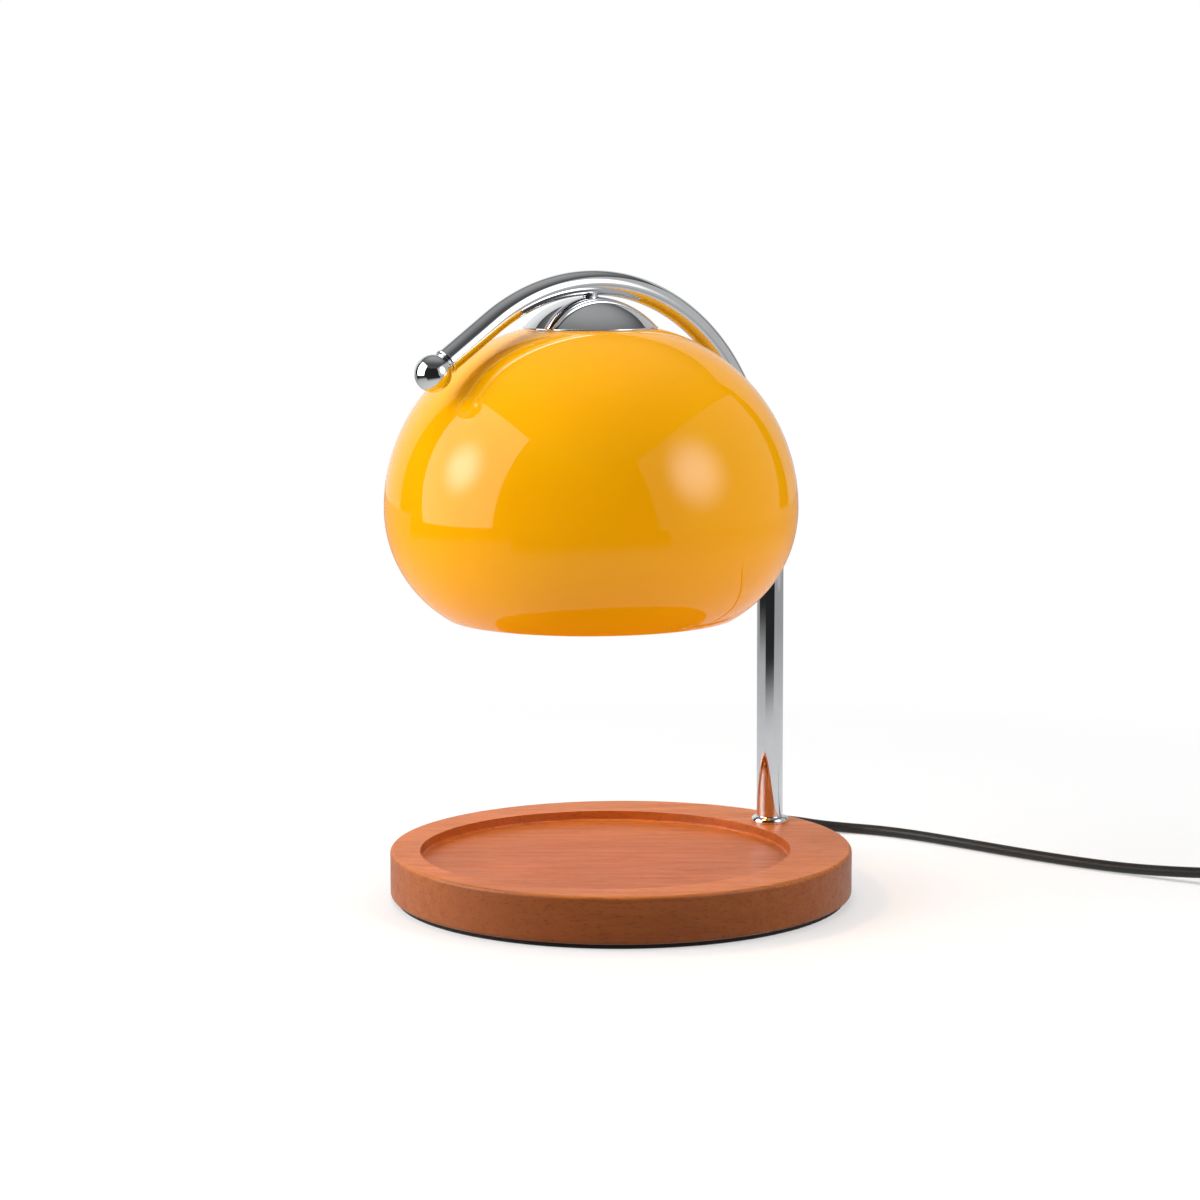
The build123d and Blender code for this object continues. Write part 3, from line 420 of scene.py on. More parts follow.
def smooth_mesh(name, vertices, faces):
    """A closed mesh with its faces turned outwards, smooth but for its sharp edges."""
    mesh = bpy.data.meshes.new(name)
    mesh.from_pydata(vertices, [], faces)
    shape = bmesh.new()
    shape.from_mesh(mesh)
    bmesh.ops.recalc_face_normals(shape, faces=shape.faces)
    shape.to_mesh(mesh)
    shape.free()
    mesh.shade_smooth()
    mesh.set_sharp_from_angle(angle=radians(SHARP_ANGLE))
    return mesh


def lathe(name, profile, place, segments=SEGMENTS, closed=False):
    """A turned solid: (radius, height) points about local Z. Points on the axis become poles."""
    vertices = []
    rings = []
    for radius, height in profile:
        start = len(vertices)
        if radius < ON_AXIS:
            vertices.append(place @ Vector((0, 0, height)))
            rings.append([start] * segments)
            continue
        for i in range(segments):
            a = 2 * pi * i / segments
            vertices.append(place @ Vector((radius * cos(a), radius * sin(a), height)))
        rings.append(list(range(start, start + segments)))
    pairs = list(zip(rings, rings[1:]))
    if closed:
        pairs.append((rings[-1], rings[0]))
    faces = []
    for low, high in pairs:
        for i in range(segments):
            j = (i + 1) % segments
            corners = [low[i], low[j], high[j], high[i]]
            face = list(dict.fromkeys(corners))
            if len(face) > 2:
                faces.append(face)
    return smooth_mesh(name, vertices, faces)


def arc(centre, radius, start, end, count):
    """Points of an arc as (radius, height), between two angles in radians."""
    angles = [start + (end - start) * i / (count - 1) for i in range(count)]
    return [(centre[0] + radius * cos(a), centre[1] + radius * sin(a)) for a in angles]


def upright(x, z=0.0):
    """A place on an upright axis in the arch's plane."""
    return Matrix.Translation((x, 0, z))


# Places read from the frame
stem_low, stem_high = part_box("stem_tube")
dome_low, dome_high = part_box("dome_cap")
arch_low, arch_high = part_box("arch_tube")
glass_low, glass_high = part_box("glass_shade")
rosette_low, rosette_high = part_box("stem_rosette")
stem_x = (stem_low.x + stem_high.x) / 2
stem_radius = (stem_high.x - stem_low.x) / 2
shade_x = (dome_low.x + dome_high.x) / 2
dome_radius = (dome_high.x - dome_low.x) / 2
arch_radius = (arch_high.y - arch_low.y) / 2
apex_z = arch_high.z - arch_radius
reach = stem_x - shade_x

# Shade
GLASS_EQUATOR = (glass_high.x - glass_low.x) / 2
GLASS_RING = 0.010
GLASS_LOWER_RADIUS = 0.054
GLASS_LOWER_TURN = radians(59.2)
GLASS_THICKNESS = 0.0026
GLASS_HOLE = 0.011
DOME_GASKET = 0.0005
GLASS_UPPER_POINTS = 72
GLASS_LOWER_POINTS = 56
GLASS_RIM_POINTS = 14
GLASS_INNER_LOWER_POINTS = 40
GLASS_INNER_UPPER_POINTS = 56


def add_glass_shade():
    """The blown shade: an upper and a lower arc each side of its widest ring, with a round rim."""
    upper = GLASS_EQUATOR - GLASS_RING
    seat = sqrt(upper**2 - (dome_radius - GLASS_RING) ** 2)
    equator_z = dome_low.z - DOME_GASKET - seat
    lower_centre = (GLASS_EQUATOR - GLASS_LOWER_RADIUS, 0)
    inner_lower = GLASS_LOWER_RADIUS - GLASS_THICKNESS
    inner_upper = upper - GLASS_THICKNESS
    rim_radius = GLASS_THICKNESS / 2
    rim_middle = GLASS_LOWER_RADIUS - rim_radius
    rim_centre = (
        lower_centre[0] + rim_middle * cos(GLASS_LOWER_TURN),
        -rim_middle * sin(GLASS_LOWER_TURN),
    )
    hole = acos((GLASS_HOLE - GLASS_RING) / upper)
    inner_hole = acos((GLASS_HOLE - GLASS_RING) / inner_upper)
    end = -GLASS_LOWER_TURN
    profile = arc((GLASS_RING, 0), upper, hole, 0, GLASS_UPPER_POINTS)
    profile += arc(lower_centre, GLASS_LOWER_RADIUS, 0, end, GLASS_LOWER_POINTS)[1:]
    profile += arc(rim_centre, rim_radius, end, end - pi, GLASS_RIM_POINTS)[1:]
    profile += arc(lower_centre, inner_lower, end, 0, GLASS_INNER_LOWER_POINTS)[1:]
    profile += arc((GLASS_RING, 0), inner_upper, 0, inner_hole, GLASS_INNER_UPPER_POINTS)[1:]
    mesh = lathe("glass_shade_skin", profile, upright(shade_x, equator_z), SHADE_SEGMENTS, closed=True)
    shade = link("glass_shade_skin", mesh, "arm")
    dress(shade, "yellow_glass", "glass_shade")


DOME_WALL = 0.0008
DOME_LIP = 0.00045
DOME_LIP_OUT = 0.0002
DOME_LIP_DROP = 0.00035
DOME_HOLE = 0.0033
DOME_POINTS = 60
DOME_LIP_POINTS = 10
DOME_INNER_POINTS = 40


def add_dome():
    """The chrome dome over the glass, with a fine rolled lip that hides the gasket."""
    rise = dome_high.z - dome_low.z
    sphere = (dome_radius**2 + rise**2) / (2 * rise)
    centre = (0, dome_high.z - sphere)
    rim = asin((dome_radius - DOME_LIP) / sphere)
    inner = sphere - DOME_WALL
    inner_rim = asin((dome_radius - 2 * DOME_LIP) / inner)
    hole = asin(DOME_HOLE / sphere)
    profile = arc(centre, sphere, pi / 2 - hole, pi / 2 - rim, DOME_POINTS)
    lip = (dome_radius - DOME_LIP + DOME_LIP_OUT, dome_low.z + DOME_LIP - DOME_LIP_DROP)
    profile += arc(lip, DOME_LIP, pi / 3, -pi / 2, DOME_LIP_POINTS)
    profile += arc(centre, inner, pi / 2 - inner_rim, pi / 2 - hole, DOME_INNER_POINTS)
    dome = link("dome_skin", lathe("dome_skin", profile, upright(shade_x), closed=True), "arm")
    dress(dome, "chrome", "dome_cap")


BOSS_RADIUS = 0.0043
BOSS_NECK = 0.0032
BOSS_SINK = 0.0004
BOSS_RISE = 0.0012
BOSS_POINTS = 12


def add_boss():
    """The small neck between the dome and the arch, flared onto the dome."""
    foot = dome_high.z - BOSS_SINK
    top = apex_z - arch_radius
    flare = BOSS_RADIUS - BOSS_NECK
    profile = [(0, foot - 2 * BOSS_SINK), (BOSS_RADIUS, foot - 2 * BOSS_SINK), (BOSS_RADIUS, foot)]
    profile += arc((BOSS_RADIUS, foot + flare), flare, -pi / 2, -pi, BOSS_POINTS)[1:]
    profile += [(BOSS_NECK, top + BOSS_RISE), (0, top + BOSS_RISE)]
    mesh = lathe("hanger_boss_skin", profile, upright(shade_x), NECK_SEGMENTS)
    boss = link("hanger_boss_skin", mesh, "arm")
    dress(boss, "chrome", "hanger_boss")


# Arch
FIRST_BEND_EXTRA = 0.040
SECOND_BEND_LESS = 0.008
TAIL_TURN = radians(33.7)
TAIL_LENGTH = 0.0353
BALL_RADIUS = 0.00775
COLLAR_RADIUS = 0.00565
COLLAR_THICKNESS = 0.0022
COLLAR_LIP = 0.0012
COLLAR_BEAD = 0.28 * COLLAR_THICKNESS
COLLAR_NECK = COLLAR_RADIUS - 2.2 * COLLAR_BEAD
COLLAR_NECK_TOP = 2.5 * COLLAR_BEAD
COLLAR_UPPER_BEAD = (COLLAR_THICKNESS - COLLAR_NECK_TOP) / 2
COLLAR_UPPER_RADIUS = COLLAR_RADIUS - 2.6 * COLLAR_UPPER_BEAD
COLLAR_POINTS = 12
BALL_POINTS = 72
BALL_SEAT = sqrt(BALL_RADIUS**2 - (COLLAR_RADIUS - COLLAR_LIP) ** 2)
ARC_STEP = radians(0.5)


def arch_points():
    """Points along the arch's middle line, and the direction in which it ends."""
    first = reach + FIRST_BEND_EXTRA
    second = reach - SECOND_BEND_LESS
    turn = acos(FIRST_BEND_EXTRA / (FIRST_BEND_EXTRA + SECOND_BEND_LESS))
    second_z = apex_z - second
    start_z = second_z - (first - second) * sin(turn)
    last = pi / 2 + TAIL_TURN
    line = [(stem_x, arch_low.z), (stem_x, start_z)]
    line += arc((stem_x - first, start_z), first, 0, turn, int(turn / ARC_STEP))[1:]
    line += arc((shade_x, second_z), second, turn, last, int((last - turn) / ARC_STEP))[1:]
    heading = Vector((-sin(last), 0, cos(last)))
    points = [Vector((x, 0, z)) for x, z in line]
    points.append(points[-1] + heading * (TAIL_LENGTH - BALL_SEAT - COLLAR_THICKNESS))
    return points, heading


def tube(name, points, radius, segments=TUBE_SEGMENTS):
    """A closed round bar along points that lie in the arch's plane."""
    vertices = []
    faces = []
    across = Vector((0, 1, 0))
    last = len(points) - 1
    for k, point in enumerate(points):
        along = (points[min(k + 1, last)] - points[max(k - 1, 0)]).normalized()
        side = along.cross(across)
        for i in range(segments):
            a = 2 * pi * i / segments
            vertices.append(point + (across * cos(a) + side * sin(a)) * radius)
    for k in range(last):
        for i in range(segments):
            j = (i + 1) % segments
            low, high = k * segments, (k + 1) * segments
            faces.append([low + i, low + j, high + j, high + i])
    faces.append(list(range(segments)))
    faces.append(list(range(last * segments, (last + 1) * segments)))
    return smooth_mesh(name, vertices, faces)


def add_arch():
    """The bent tube with its collar and ball."""
    points, heading = arch_points()
    arch = link("arch_tube_skin", tube("arch_tube_skin", points, arch_radius), "arm")
    dress(arch, "chrome", "arch_tube")
    place = Matrix.Translation(points[-1]) @ heading.to_track_quat("Z", "Y").to_matrix().to_4x4()

    lower = (COLLAR_RADIUS - COLLAR_BEAD, COLLAR_BEAD)
    upper = (COLLAR_UPPER_RADIUS, COLLAR_THICKNESS - COLLAR_UPPER_BEAD)
    profile = [(0, 0)]
    profile += arc(lower, COLLAR_BEAD, -pi / 2, pi / 2, COLLAR_POINTS)
    profile += [(COLLAR_NECK, 2 * COLLAR_BEAD), (COLLAR_NECK, COLLAR_NECK_TOP)]
    profile += arc(upper, COLLAR_UPPER_BEAD, -pi / 2, pi / 2, COLLAR_POINTS)
    profile += [(0, COLLAR_THICKNESS)]
    collar = link("ball_collar_skin", lathe("ball_collar_skin", profile, place, SMALL_SEGMENTS), "arm")
    dress(collar, "chrome", "ball_collar")

    seat = asin(BALL_SEAT / BALL_RADIUS)
    profile = [(0, COLLAR_THICKNESS)]
    profile += arc((0, COLLAR_THICKNESS + BALL_SEAT), BALL_RADIUS, -seat, pi / 2, BALL_POINTS)[:-1]
    profile += [(0, COLLAR_THICKNESS + BALL_SEAT + BALL_RADIUS)]
    ball = link("ball_finial_skin", lathe("ball_finial_skin", profile, place, TUBE_SEGMENTS), "arm")
    dress(ball, "chrome", "ball_finial")


# Stem
STEM_WALL = 0.00045
ROSETTE_RIM = 0.0008
ROSETTE_CHAMFER = 0.0002
ROSETTE_DIP = 0.0003
ROSETTE_POINTS = 20


def add_stem():
    """The stem's tube and the domed ring at its foot."""
    bore = stem_radius - STEM_WALL
    low, high = stem_low.z, stem_high.z
    profile = [(bore, low), (stem_radius, low), (stem_radius, high), (bore, high)]
    mesh = lathe("stem_tube_skin", profile, upright(stem_x), SMALL_SEGMENTS, closed=True)
    stem = link("stem_tube_skin", mesh, "base")
    dress(stem, "chrome", "stem_tube")

    outer = (rosette_high.x - rosette_low.x) / 2
    height = rosette_high.z - rosette_low.z
    bead = height - ROSETTE_RIM
    foot = rosette_low.z
    profile = [(stem_radius, foot), (outer - ROSETTE_CHAMFER, foot), (outer, foot + ROSETTE_CHAMFER)]
    profile += arc((outer - bead, foot + ROSETTE_RIM), bead, 0, pi / 2, ROSETTE_POINTS)
    profile += [(stem_radius, rosette_high.z - ROSETTE_DIP)]
    mesh = lathe("stem_rosette_skin", profile, upright(stem_x), TUBE_SEGMENTS, closed=True)
    rosette = link("stem_rosette_skin", mesh, "base")
    dress(rosette, "chrome", "stem_rosette")


# Strain relief
RELIEF_ANGLE = 22.0
RELIEF_START = 0.10005
RELIEF_LENGTH = 0.026
RELIEF_HEIGHT = 0.009
RELIEF_SPIGOT = (0.0040, 0.0153)
RELIEF_FLANGE = (0.0060, 0.0016)
RELIEF_ROOT = 0.0046
RELIEF_TIP_RADIUS = 0.0033
RELIEF_RINGS = 7
RELIEF_GROOVE = 0.00055
RELIEF_FLANGE_ROUND = 0.4 * RELIEF_FLANGE[1]
RELIEF_TIP_ROUND = 0.15 * RELIEF_TIP_RADIUS
RELIEF_POINTS = 6
# A groove's section: shares of the pitch along the taper, and of the groove's depth
RELIEF_SECTION = ((-0.30, 0), (-0.22, 1), (0.22, 1), (0.30, 0))


def add_relief():
    """The strain relief in the base's side: a flange and a taper cut by grooves so that it can bend."""
    along = Vector((cos(radians(RELIEF_ANGLE)), sin(radians(RELIEF_ANGLE)), 0))
    turn = along.to_track_quat("Z", "Y").to_matrix().to_4x4()
    place = Matrix.Translation(along * RELIEF_START + Vector((0, 0, RELIEF_HEIGHT))) @ turn
    spigot, depth = RELIEF_SPIGOT
    flange, thick = RELIEF_FLANGE
    edge = RELIEF_FLANGE_ROUND
    profile = [(0, -depth), (spigot, -depth), (spigot, 0), (flange - edge, 0)]
    profile += arc((flange - edge, edge), edge, -pi / 2, 0, RELIEF_POINTS)[1:]
    profile += arc((flange - edge, thick - edge), edge, 0, pi / 2, RELIEF_POINTS)
    profile += [(RELIEF_ROOT, thick)]
    pitch = (RELIEF_LENGTH - thick) / (RELIEF_RINGS + 1)
    for i in range(1, RELIEF_RINGS + 1):
        middle = thick + pitch * i
        radius = RELIEF_ROOT + (RELIEF_TIP_RADIUS - RELIEF_ROOT) * middle / RELIEF_LENGTH
        for offset, sink in RELIEF_SECTION:
            profile.append((radius - sink * RELIEF_GROOVE, middle + offset * pitch))
    tip = (RELIEF_TIP_RADIUS - RELIEF_TIP_ROUND, RELIEF_LENGTH - RELIEF_TIP_ROUND)
    profile += arc(tip, RELIEF_TIP_ROUND, 0, pi / 2, RELIEF_POINTS)
    profile += [(0, RELIEF_LENGTH)]
    relief = link("cord_relief_skin", lathe("cord_relief_skin", profile, place, SMALL_SEGMENTS), "base")
    return dress(relief, "black_plastic", "cord_relief")


# Dimmer knob
KNOB_HEADING = -65.0
KNOB_RADIUS = 0.0095
KNOB_ROUND = 0.0012
KNOB_RIDGES = 30
KNOB_RIDGE_DEPTH = 0.00045
KNOB_RIDGE_POINTS = 8
KNOB_ROUND_POINTS = 8
KNOB_CHAMFER = 0.0003
KNOB_DISH = 0.0005
# The dish's slope: shares of the flat top's radius and of the dish's depth
KNOB_DISH_SLOPE = ((0.93, 0.8), (0.8, 1.0), (0.0, 1.0))
KNOB_SPINDLE = 0.0025
KNOB_HEIGHT = 0.005
MARKER_START = 0.0034
MARKER_LENGTH = 0.0048
MARKER_WIDTH = 0.0011
MARKER_PROUD = 0.0002
MARKER_POINTS = 9


def add_knob():
    """The dimmer's knob with a ridged edge, a shallow dish on top and a pale pointer."""
    low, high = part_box("dimmer_knob")
    middle = (low + high) / 2
    turn = Matrix.Rotation(radians(KNOB_HEADING), 4, "Z")
    place = Matrix.Translation((middle.x, middle.y, 0)) @ turn
    under = high.z - KNOB_HEIGHT
    inner = KNOB_RADIUS - KNOB_ROUND
    profile = [(0, low.z), (KNOB_SPINDLE, low.z), (KNOB_SPINDLE, under)]
    profile += [(KNOB_RADIUS - KNOB_CHAMFER, under), (KNOB_RADIUS, under + KNOB_CHAMFER)]
    profile += [(KNOB_RADIUS, high.z - KNOB_ROUND)]
    profile += arc((inner, high.z - KNOB_ROUND), KNOB_ROUND, 0, pi / 2, KNOB_ROUND_POINTS)[1:]
    profile += [(inner * out, high.z - KNOB_DISH * down) for out, down in KNOB_DISH_SLOPE]
    mesh = lathe("dimmer_knob_skin", profile, Matrix(), KNOB_RIDGES * KNOB_RIDGE_POINTS)
    for vertex in mesh.vertices:
        radius = Vector((vertex.co.x, vertex.co.y)).length
        if radius > inner and vertex.co.z > under:
            angle = Vector((vertex.co.x, vertex.co.y)).angle_signed(Vector((1, 0)))
            depth = min(1.0, (radius - inner) / KNOB_ROUND) * KNOB_RIDGE_DEPTH
            shrink = 1 - depth * (0.5 - 0.5 * cos(KNOB_RIDGES * angle)) / radius
            vertex.co.x *= shrink
            vertex.co.y *= shrink
    mesh.transform(place)
    knob = link("dimmer_knob_skin", mesh, "dimmer_knob")
    dress(knob, "black_plastic", "dimmer_knob")

    half = MARKER_WIDTH / 2
    level = high.z - KNOB_DISH
    outline = arc((MARKER_START + half, 0), half, pi / 2, 3 * pi / 2, MARKER_POINTS)
    outline += arc((MARKER_START + MARKER_LENGTH - half, 0), half, -pi / 2, pi / 2, MARKER_POINTS)
    count = len(outline)
    vertices = [place @ Vector((x, y, level - MARKER_PROUD)) for x, y in outline]
    vertices += [place @ Vector((x, y, level + MARKER_PROUD)) for x, y in outline]
    faces = [list(range(count)), list(range(count, 2 * count))]
    faces += [[i, (i + 1) % count, count + (i + 1) % count, count + i] for i in range(count)]
    marker = link("knob_marker", smooth_mesh("knob_marker", vertices, faces), "dimmer_knob")
    dress(marker, "bearing_plastic")
    return knob, marker


# Plug
PLUG_CORNER = 0.0040
PLUG_WAIST = 0.0011
PLUG_RIBS = 5
PLUG_RIB_DEPTH = 0.0005
PLUG_SECTIONS = 90
# Shares of the plug's length, from the cord to the blades
PLUG_SHOULDER = 0.16
PLUG_FRONT = 0.03
PLUG_GRIP_START = 0.14
PLUG_GRIP_LENGTH = 0.56
# Shares of the plug's full section at its two ends, and of the pinch that its flat sides take
PLUG_TAIL_SECTION = 0.62
PLUG_FRONT_SECTION = 0.97
PLUG_FLAT_PINCH = 0.4
PLUG_SECTION_POINTS = 12


def rounded_section(half_width, half_height, corner):
    """Points round a rectangle with round corners."""
    points = []
    corners = ((1, 1, 0), (-1, 1, pi / 2), (-1, -1, pi), (1, -1, 3 * pi / 2))
    for sx, sy, start in corners:
        centre = (sx * (half_width - corner), sy * (half_height - corner))
        points += arc(centre, corner, start, start + pi / 2, PLUG_SECTION_POINTS)
    return points


def add_plug():
    """The plug's body: a round-shouldered block with a waist and grip ribs."""
    low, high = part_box("plug_body")
    middle = (low + high) / 2
    length = high.y - low.y
    vertices = []
    for k in range(PLUG_SECTIONS):
        t = k / (PLUG_SECTIONS - 1)
        shoulder = min(1.0, t / PLUG_SHOULDER)
        front = min(1.0, (1 - t) / PLUG_FRONT)
        grow = PLUG_TAIL_SECTION + (1 - PLUG_TAIL_SECTION) * sqrt(1 - (1 - shoulder) ** 2)
        grow *= PLUG_FRONT_SECTION + (1 - PLUG_FRONT_SECTION) * sqrt(1 - (1 - front) ** 2)
        along = (t - PLUG_GRIP_START) / PLUG_GRIP_LENGTH
        grip = max(0.0, sin(pi * along))
        rib = 0.5 - 0.5 * cos(2 * pi * PLUG_RIBS * along)
        pinch = PLUG_WAIST * grip + PLUG_RIB_DEPTH * rib * min(1.0, 2 * grip)
        half_width = (high.x - low.x) / 2 * grow - pinch
        half_height = (high.z - low.z) / 2 * grow - PLUG_FLAT_PINCH * pinch
        for x, z in rounded_section(half_width, half_height, PLUG_CORNER * grow):
            vertices.append((middle.x + x, low.y + length * t, middle.z + z))
    count = 4 * PLUG_SECTION_POINTS
    faces = [list(range(count)), list(range((PLUG_SECTIONS - 1) * count, PLUG_SECTIONS * count))]
    for k in range(PLUG_SECTIONS - 1):
        for i in range(count):
            j = (i + 1) % count
            faces.append([k * count + i, k * count + j, (k + 1) * count + j, (k + 1) * count + i])
    plug = link("plug_body_skin", smooth_mesh("plug_body_skin", vertices, faces), "base")
    return dress(plug, "black_plastic", "plug_body")


# Cords
CORD_BEVEL_STEPS = 6
CORD_SPLINE_STEPS = 6
CORD_SPLINE_ORDER = 3


def cord_curve(name, points):
    """A round cord along one smooth spline with these control points."""
    curve = bpy.data.curves.new(name, "CURVE")
    curve.dimensions = "3D"
    curve.bevel_depth = 1.0
    curve.bevel_resolution = CORD_BEVEL_STEPS
    curve.resolution_u = CORD_SPLINE_STEPS
    curve.use_fill_caps = True
    spline = curve.splines.new("NURBS")
    spline.points.add(len(points) - 1)
    for control, point in zip(spline.points, points):
        control.co = (*point, 1.0)
        control.radius = CORD_DIAMETER / 2
    spline.order_u = CORD_SPLINE_ORDER
    spline.use_endpoint_u = True
    return link(name, curve, "base")


def coil_points():
    """The coil's control points: half turns that spiral in, climb a layer and spiral out."""
    points = []
    middle_x, middle_y = COIL_CENTRE
    y = middle_y - COIL_RADIUS
    side = 1
    last = 2 * COIL_HALF_TURNS
    for k in range(last + 1):
        radius = COIL_RADIUS - min(k, last - k) * COIL_STEP / 2
        low = COIL_FLOOR + (COIL_STEP if k > COIL_HALF_TURNS else 0)
        high = COIL_FLOOR + (COIL_STEP if k >= COIL_HALF_TURNS else 0)
        centre = y + side * radius
        count = COIL_POINTS if k < last else COIL_POINTS // 2 + 1
        for i in range(count):
            turned = pi * i / COIL_POINTS
            across = side * radius * sin(turned)
            along = side * radius * cos(turned)
            height = low + (high - low) * i / COIL_POINTS
            points.append((middle_x + across, centre - along, height))
        y = centre + side * radius
        side = -side
    return points


def add_cords():
    """The lead: one cord to the dimmer, and one from there through the coil to the plug.

    What the photograph's frame cuts off stays out of reflections too.
    """
    strand = cord_curve("lead_strand", [RELIEF_TIP, *STRAND_POINTS, DIMMER_IN])
    dress(strand, "black_cord", "cord_strand")
    dimmer = ["dimmer_lower_case", "dimmer_upper_case", "dimmer_board", "dimmer_screws"]
    dimmer_pieces = [*add_knob(), *[nodes[name] for name in dimmer]]
    add_relief()
    coil = cord_curve("lead_coil", [DIMMER_OUT, *LINK_POINTS, *coil_points(), *PLUG_TAIL_POINTS])
    dress(coil, "black_cord", "cord_link", "cord_coil", "cord_plug_tail")
    plug = ["coil_tie", "plug_relief", "plug_blades"]
    plug_pieces = [add_plug(), *[nodes[name] for name in plug]]
    for obj in (coil, *plug_pieces, *dimmer_pieces):
        obj.visible_glossy = False


# Studio: the floor, and the light that falls on the object
SHADE_MIDDLE = Vector((shade_x, 0, 0.17))
FLOOR_GLOW = 0.44
FLOOR_ALBEDO = 0.56
FLOOR_BOUNCE = 0.18
FLOOR_NEAR = 0.26
FLOOR_FAR = 0.55
FLOOR_SIZE = 40.0
AMBIENT = 0.04
OVERHEAD_PLACE = (0.05, 0.30, 1.5)
OVERHEAD_SIZE = 1.2
OVERHEAD_POWER = 15.0
FILL_PLACE = Vector((-0.446, 0.400, 0.09))
FILL_AIM = Vector((-0.09, 0.03, 0.012))
FILL_SIZE = 0.20
FILL_SPREAD = 30.0
FILL_POWER = 0.06

# Softboxes: azimuth, elevation, distance, and half width and height as angles
LEFT_BOX = (155, 21, 1.3, 27, 29)
RIGHT_BOX = (-47, 16, 0.95, 46, 30)

# What chrome and glass reflect: a room, its ceiling and the table, as radii, heights and azimuths
ROOM_RADIUS = 2.5
ROOM_LOW = -0.2
CEILING_HEIGHT = 1.9
CEILING_HOLE = 0.001
BACKDROP_AZIMUTHS = (12, 105)
WALL_AZIMUTHS = (105, 372)
ALL_ROUND = (0, 360)
TABLE_INNER = 0.09
TABLE_LEVEL = 0.0002
FRONT_INNER = 0.25
FRONT_LEVEL = 0.0004
FRONT_AZIMUTHS = (192, 275)
LEFT_INNER = 0.45
LEFT_LEVEL = 0.0006
LEFT_AZIMUTHS = (118, 192)
CARD_STEPS = 48

# Glows: level at the hot spot, level at the edge, the hot spot, and where the fall ends and starts
DARK_LEVEL = 0.02
LEFT_BOX_GLOW = (10.2, 2.4, (0.0, 0.0, 0.0), 0.42)
RIGHT_BOX_GLOW = (6.0, 0.5, (-0.31, 0.12, 0.0), 0.47)
BACKDROP_GLOW = (0.88, 0.52, (0.8, 2.3, 0.8), 2.3)
CEILING_GLOW = (0.38, 0.08, (0.45, 0.6, CEILING_HEIGHT), 2.1)
TABLE_HOT = (0.1, 0.0, 0.0)
TABLE_GLOW = (0.74, 0.36, TABLE_HOT, 0.9)
FRONT_GLOW = (0.66, 0.02, TABLE_HOT, 0.68, 0.30)
LEFT_GLOW = (0.50, 0.02, TABLE_HOT, 0.95, 0.50)


def toward(azimuth, elevation):
    """A direction from its azimuth, counted from +X, and its elevation."""
    a, e = radians(azimuth), radians(elevation)
    return Vector((cos(a) * cos(e), sin(a) * cos(e), sin(e)))


def stage_mesh(name, vertices, faces, material):
    """A mesh that belongs to the studio and not to the object."""
    mesh = bpy.data.meshes.new(name)
    mesh.from_pydata(vertices, [], faces)
    mesh.materials.append(material)
    obj = link(name, mesh)
    return obj


def seen_ray(tree):
    """One for the rays that show a white background: to the camera, in gloss and through glass."""
    path = tree.nodes.new("ShaderNodeLightPath")
    seen = path.outputs["Is Camera Ray"]
    for ray in ("Is Glossy Ray", "Is Transmission Ray"):
        either = tree.nodes.new("ShaderNodeMath")
        either.operation = "MAXIMUM"
        tree.links.new(seen, either.inputs[0])
        tree.links.new(path.outputs[ray], either.inputs[1])
        seen = either.outputs[0]
    return seen


def floor_material():
    """White floor that keeps the shadow near the object and runs out to plain white."""
    material = bpy.data.materials.new("floor")
    material.use_nodes = True
    tree = material.node_tree
    tree.nodes.clear()
    coordinates = tree.nodes.new("ShaderNodeTexCoord")
    length = tree.nodes.new("ShaderNodeVectorMath")
    length.operation = "LENGTH"
    tree.links.new(coordinates.outputs["Object"], length.inputs[0])
    far = remap(tree, length.outputs["Value"], FLOOR_NEAR, FLOOR_FAR)
    glow = tree.nodes.new("ShaderNodeEmission")
    tree.links.new(remap(tree, seen_ray(tree), 0, 1, 0.0, FLOOR_GLOW), glow.inputs["Strength"])
    matte = tree.nodes.new("ShaderNodeBsdfDiffuse")
    tree.links.new(remap(tree, seen_ray(tree), 0, 1, FLOOR_BOUNCE, FLOOR_ALBEDO), matte.inputs["Color"])
    near = tree.nodes.new("ShaderNodeAddShader")
    tree.links.new(glow.outputs[0], near.inputs[0])
    tree.links.new(matte.outputs[0], near.inputs[1])
    white = tree.nodes.new("ShaderNodeEmission")
    mix = tree.nodes.new("ShaderNodeMixShader")
    tree.links.new(far, mix.inputs[0])
    tree.links.new(near.outputs[0], mix.inputs[1])
    tree.links.new(white.outputs[0], mix.inputs[2])
    output = tree.nodes.new("ShaderNodeOutputMaterial")
    tree.links.new(mix.outputs[0], output.inputs["Surface"])
    return material


def glow_material(name, strength, edge=None, hot=(0.0, 0.0, 0.0), reach=1.0, start=0.0):
    """A plain glow, or one that falls smoothly to its edge level, from start to reach round a hot spot."""
    material = bpy.data.materials.new(name)
    material.use_nodes = True
    tree = material.node_tree
    tree.nodes.clear()
    emission = tree.nodes.new("ShaderNodeEmission")
    emission.inputs["Strength"].default_value = strength
    if edge is not None:
        coordinates = tree.nodes.new("ShaderNodeTexCoord")
        distance = tree.nodes.new("ShaderNodeVectorMath")
        distance.operation = "DISTANCE"
        distance.inputs[1].default_value = hot
        tree.links.new(coordinates.outputs["Object"], distance.inputs[0])
        level = remap(tree, distance.outputs["Value"], start, reach, strength, edge)
        level.node.interpolation_type = "SMOOTHERSTEP"
        tree.links.new(level, emission.inputs["Strength"])
    output = tree.nodes.new("ShaderNodeOutputMaterial")
    tree.links.new(emission.outputs[0], output.inputs["Surface"])
    return material


def only_reflected(obj):
    """The object shows in gloss and through glass, and neither to the camera nor in the light."""
    obj.visible_camera = False
    obj.visible_diffuse = False
    obj.visible_shadow = False
    obj.visible_volume_scatter = False


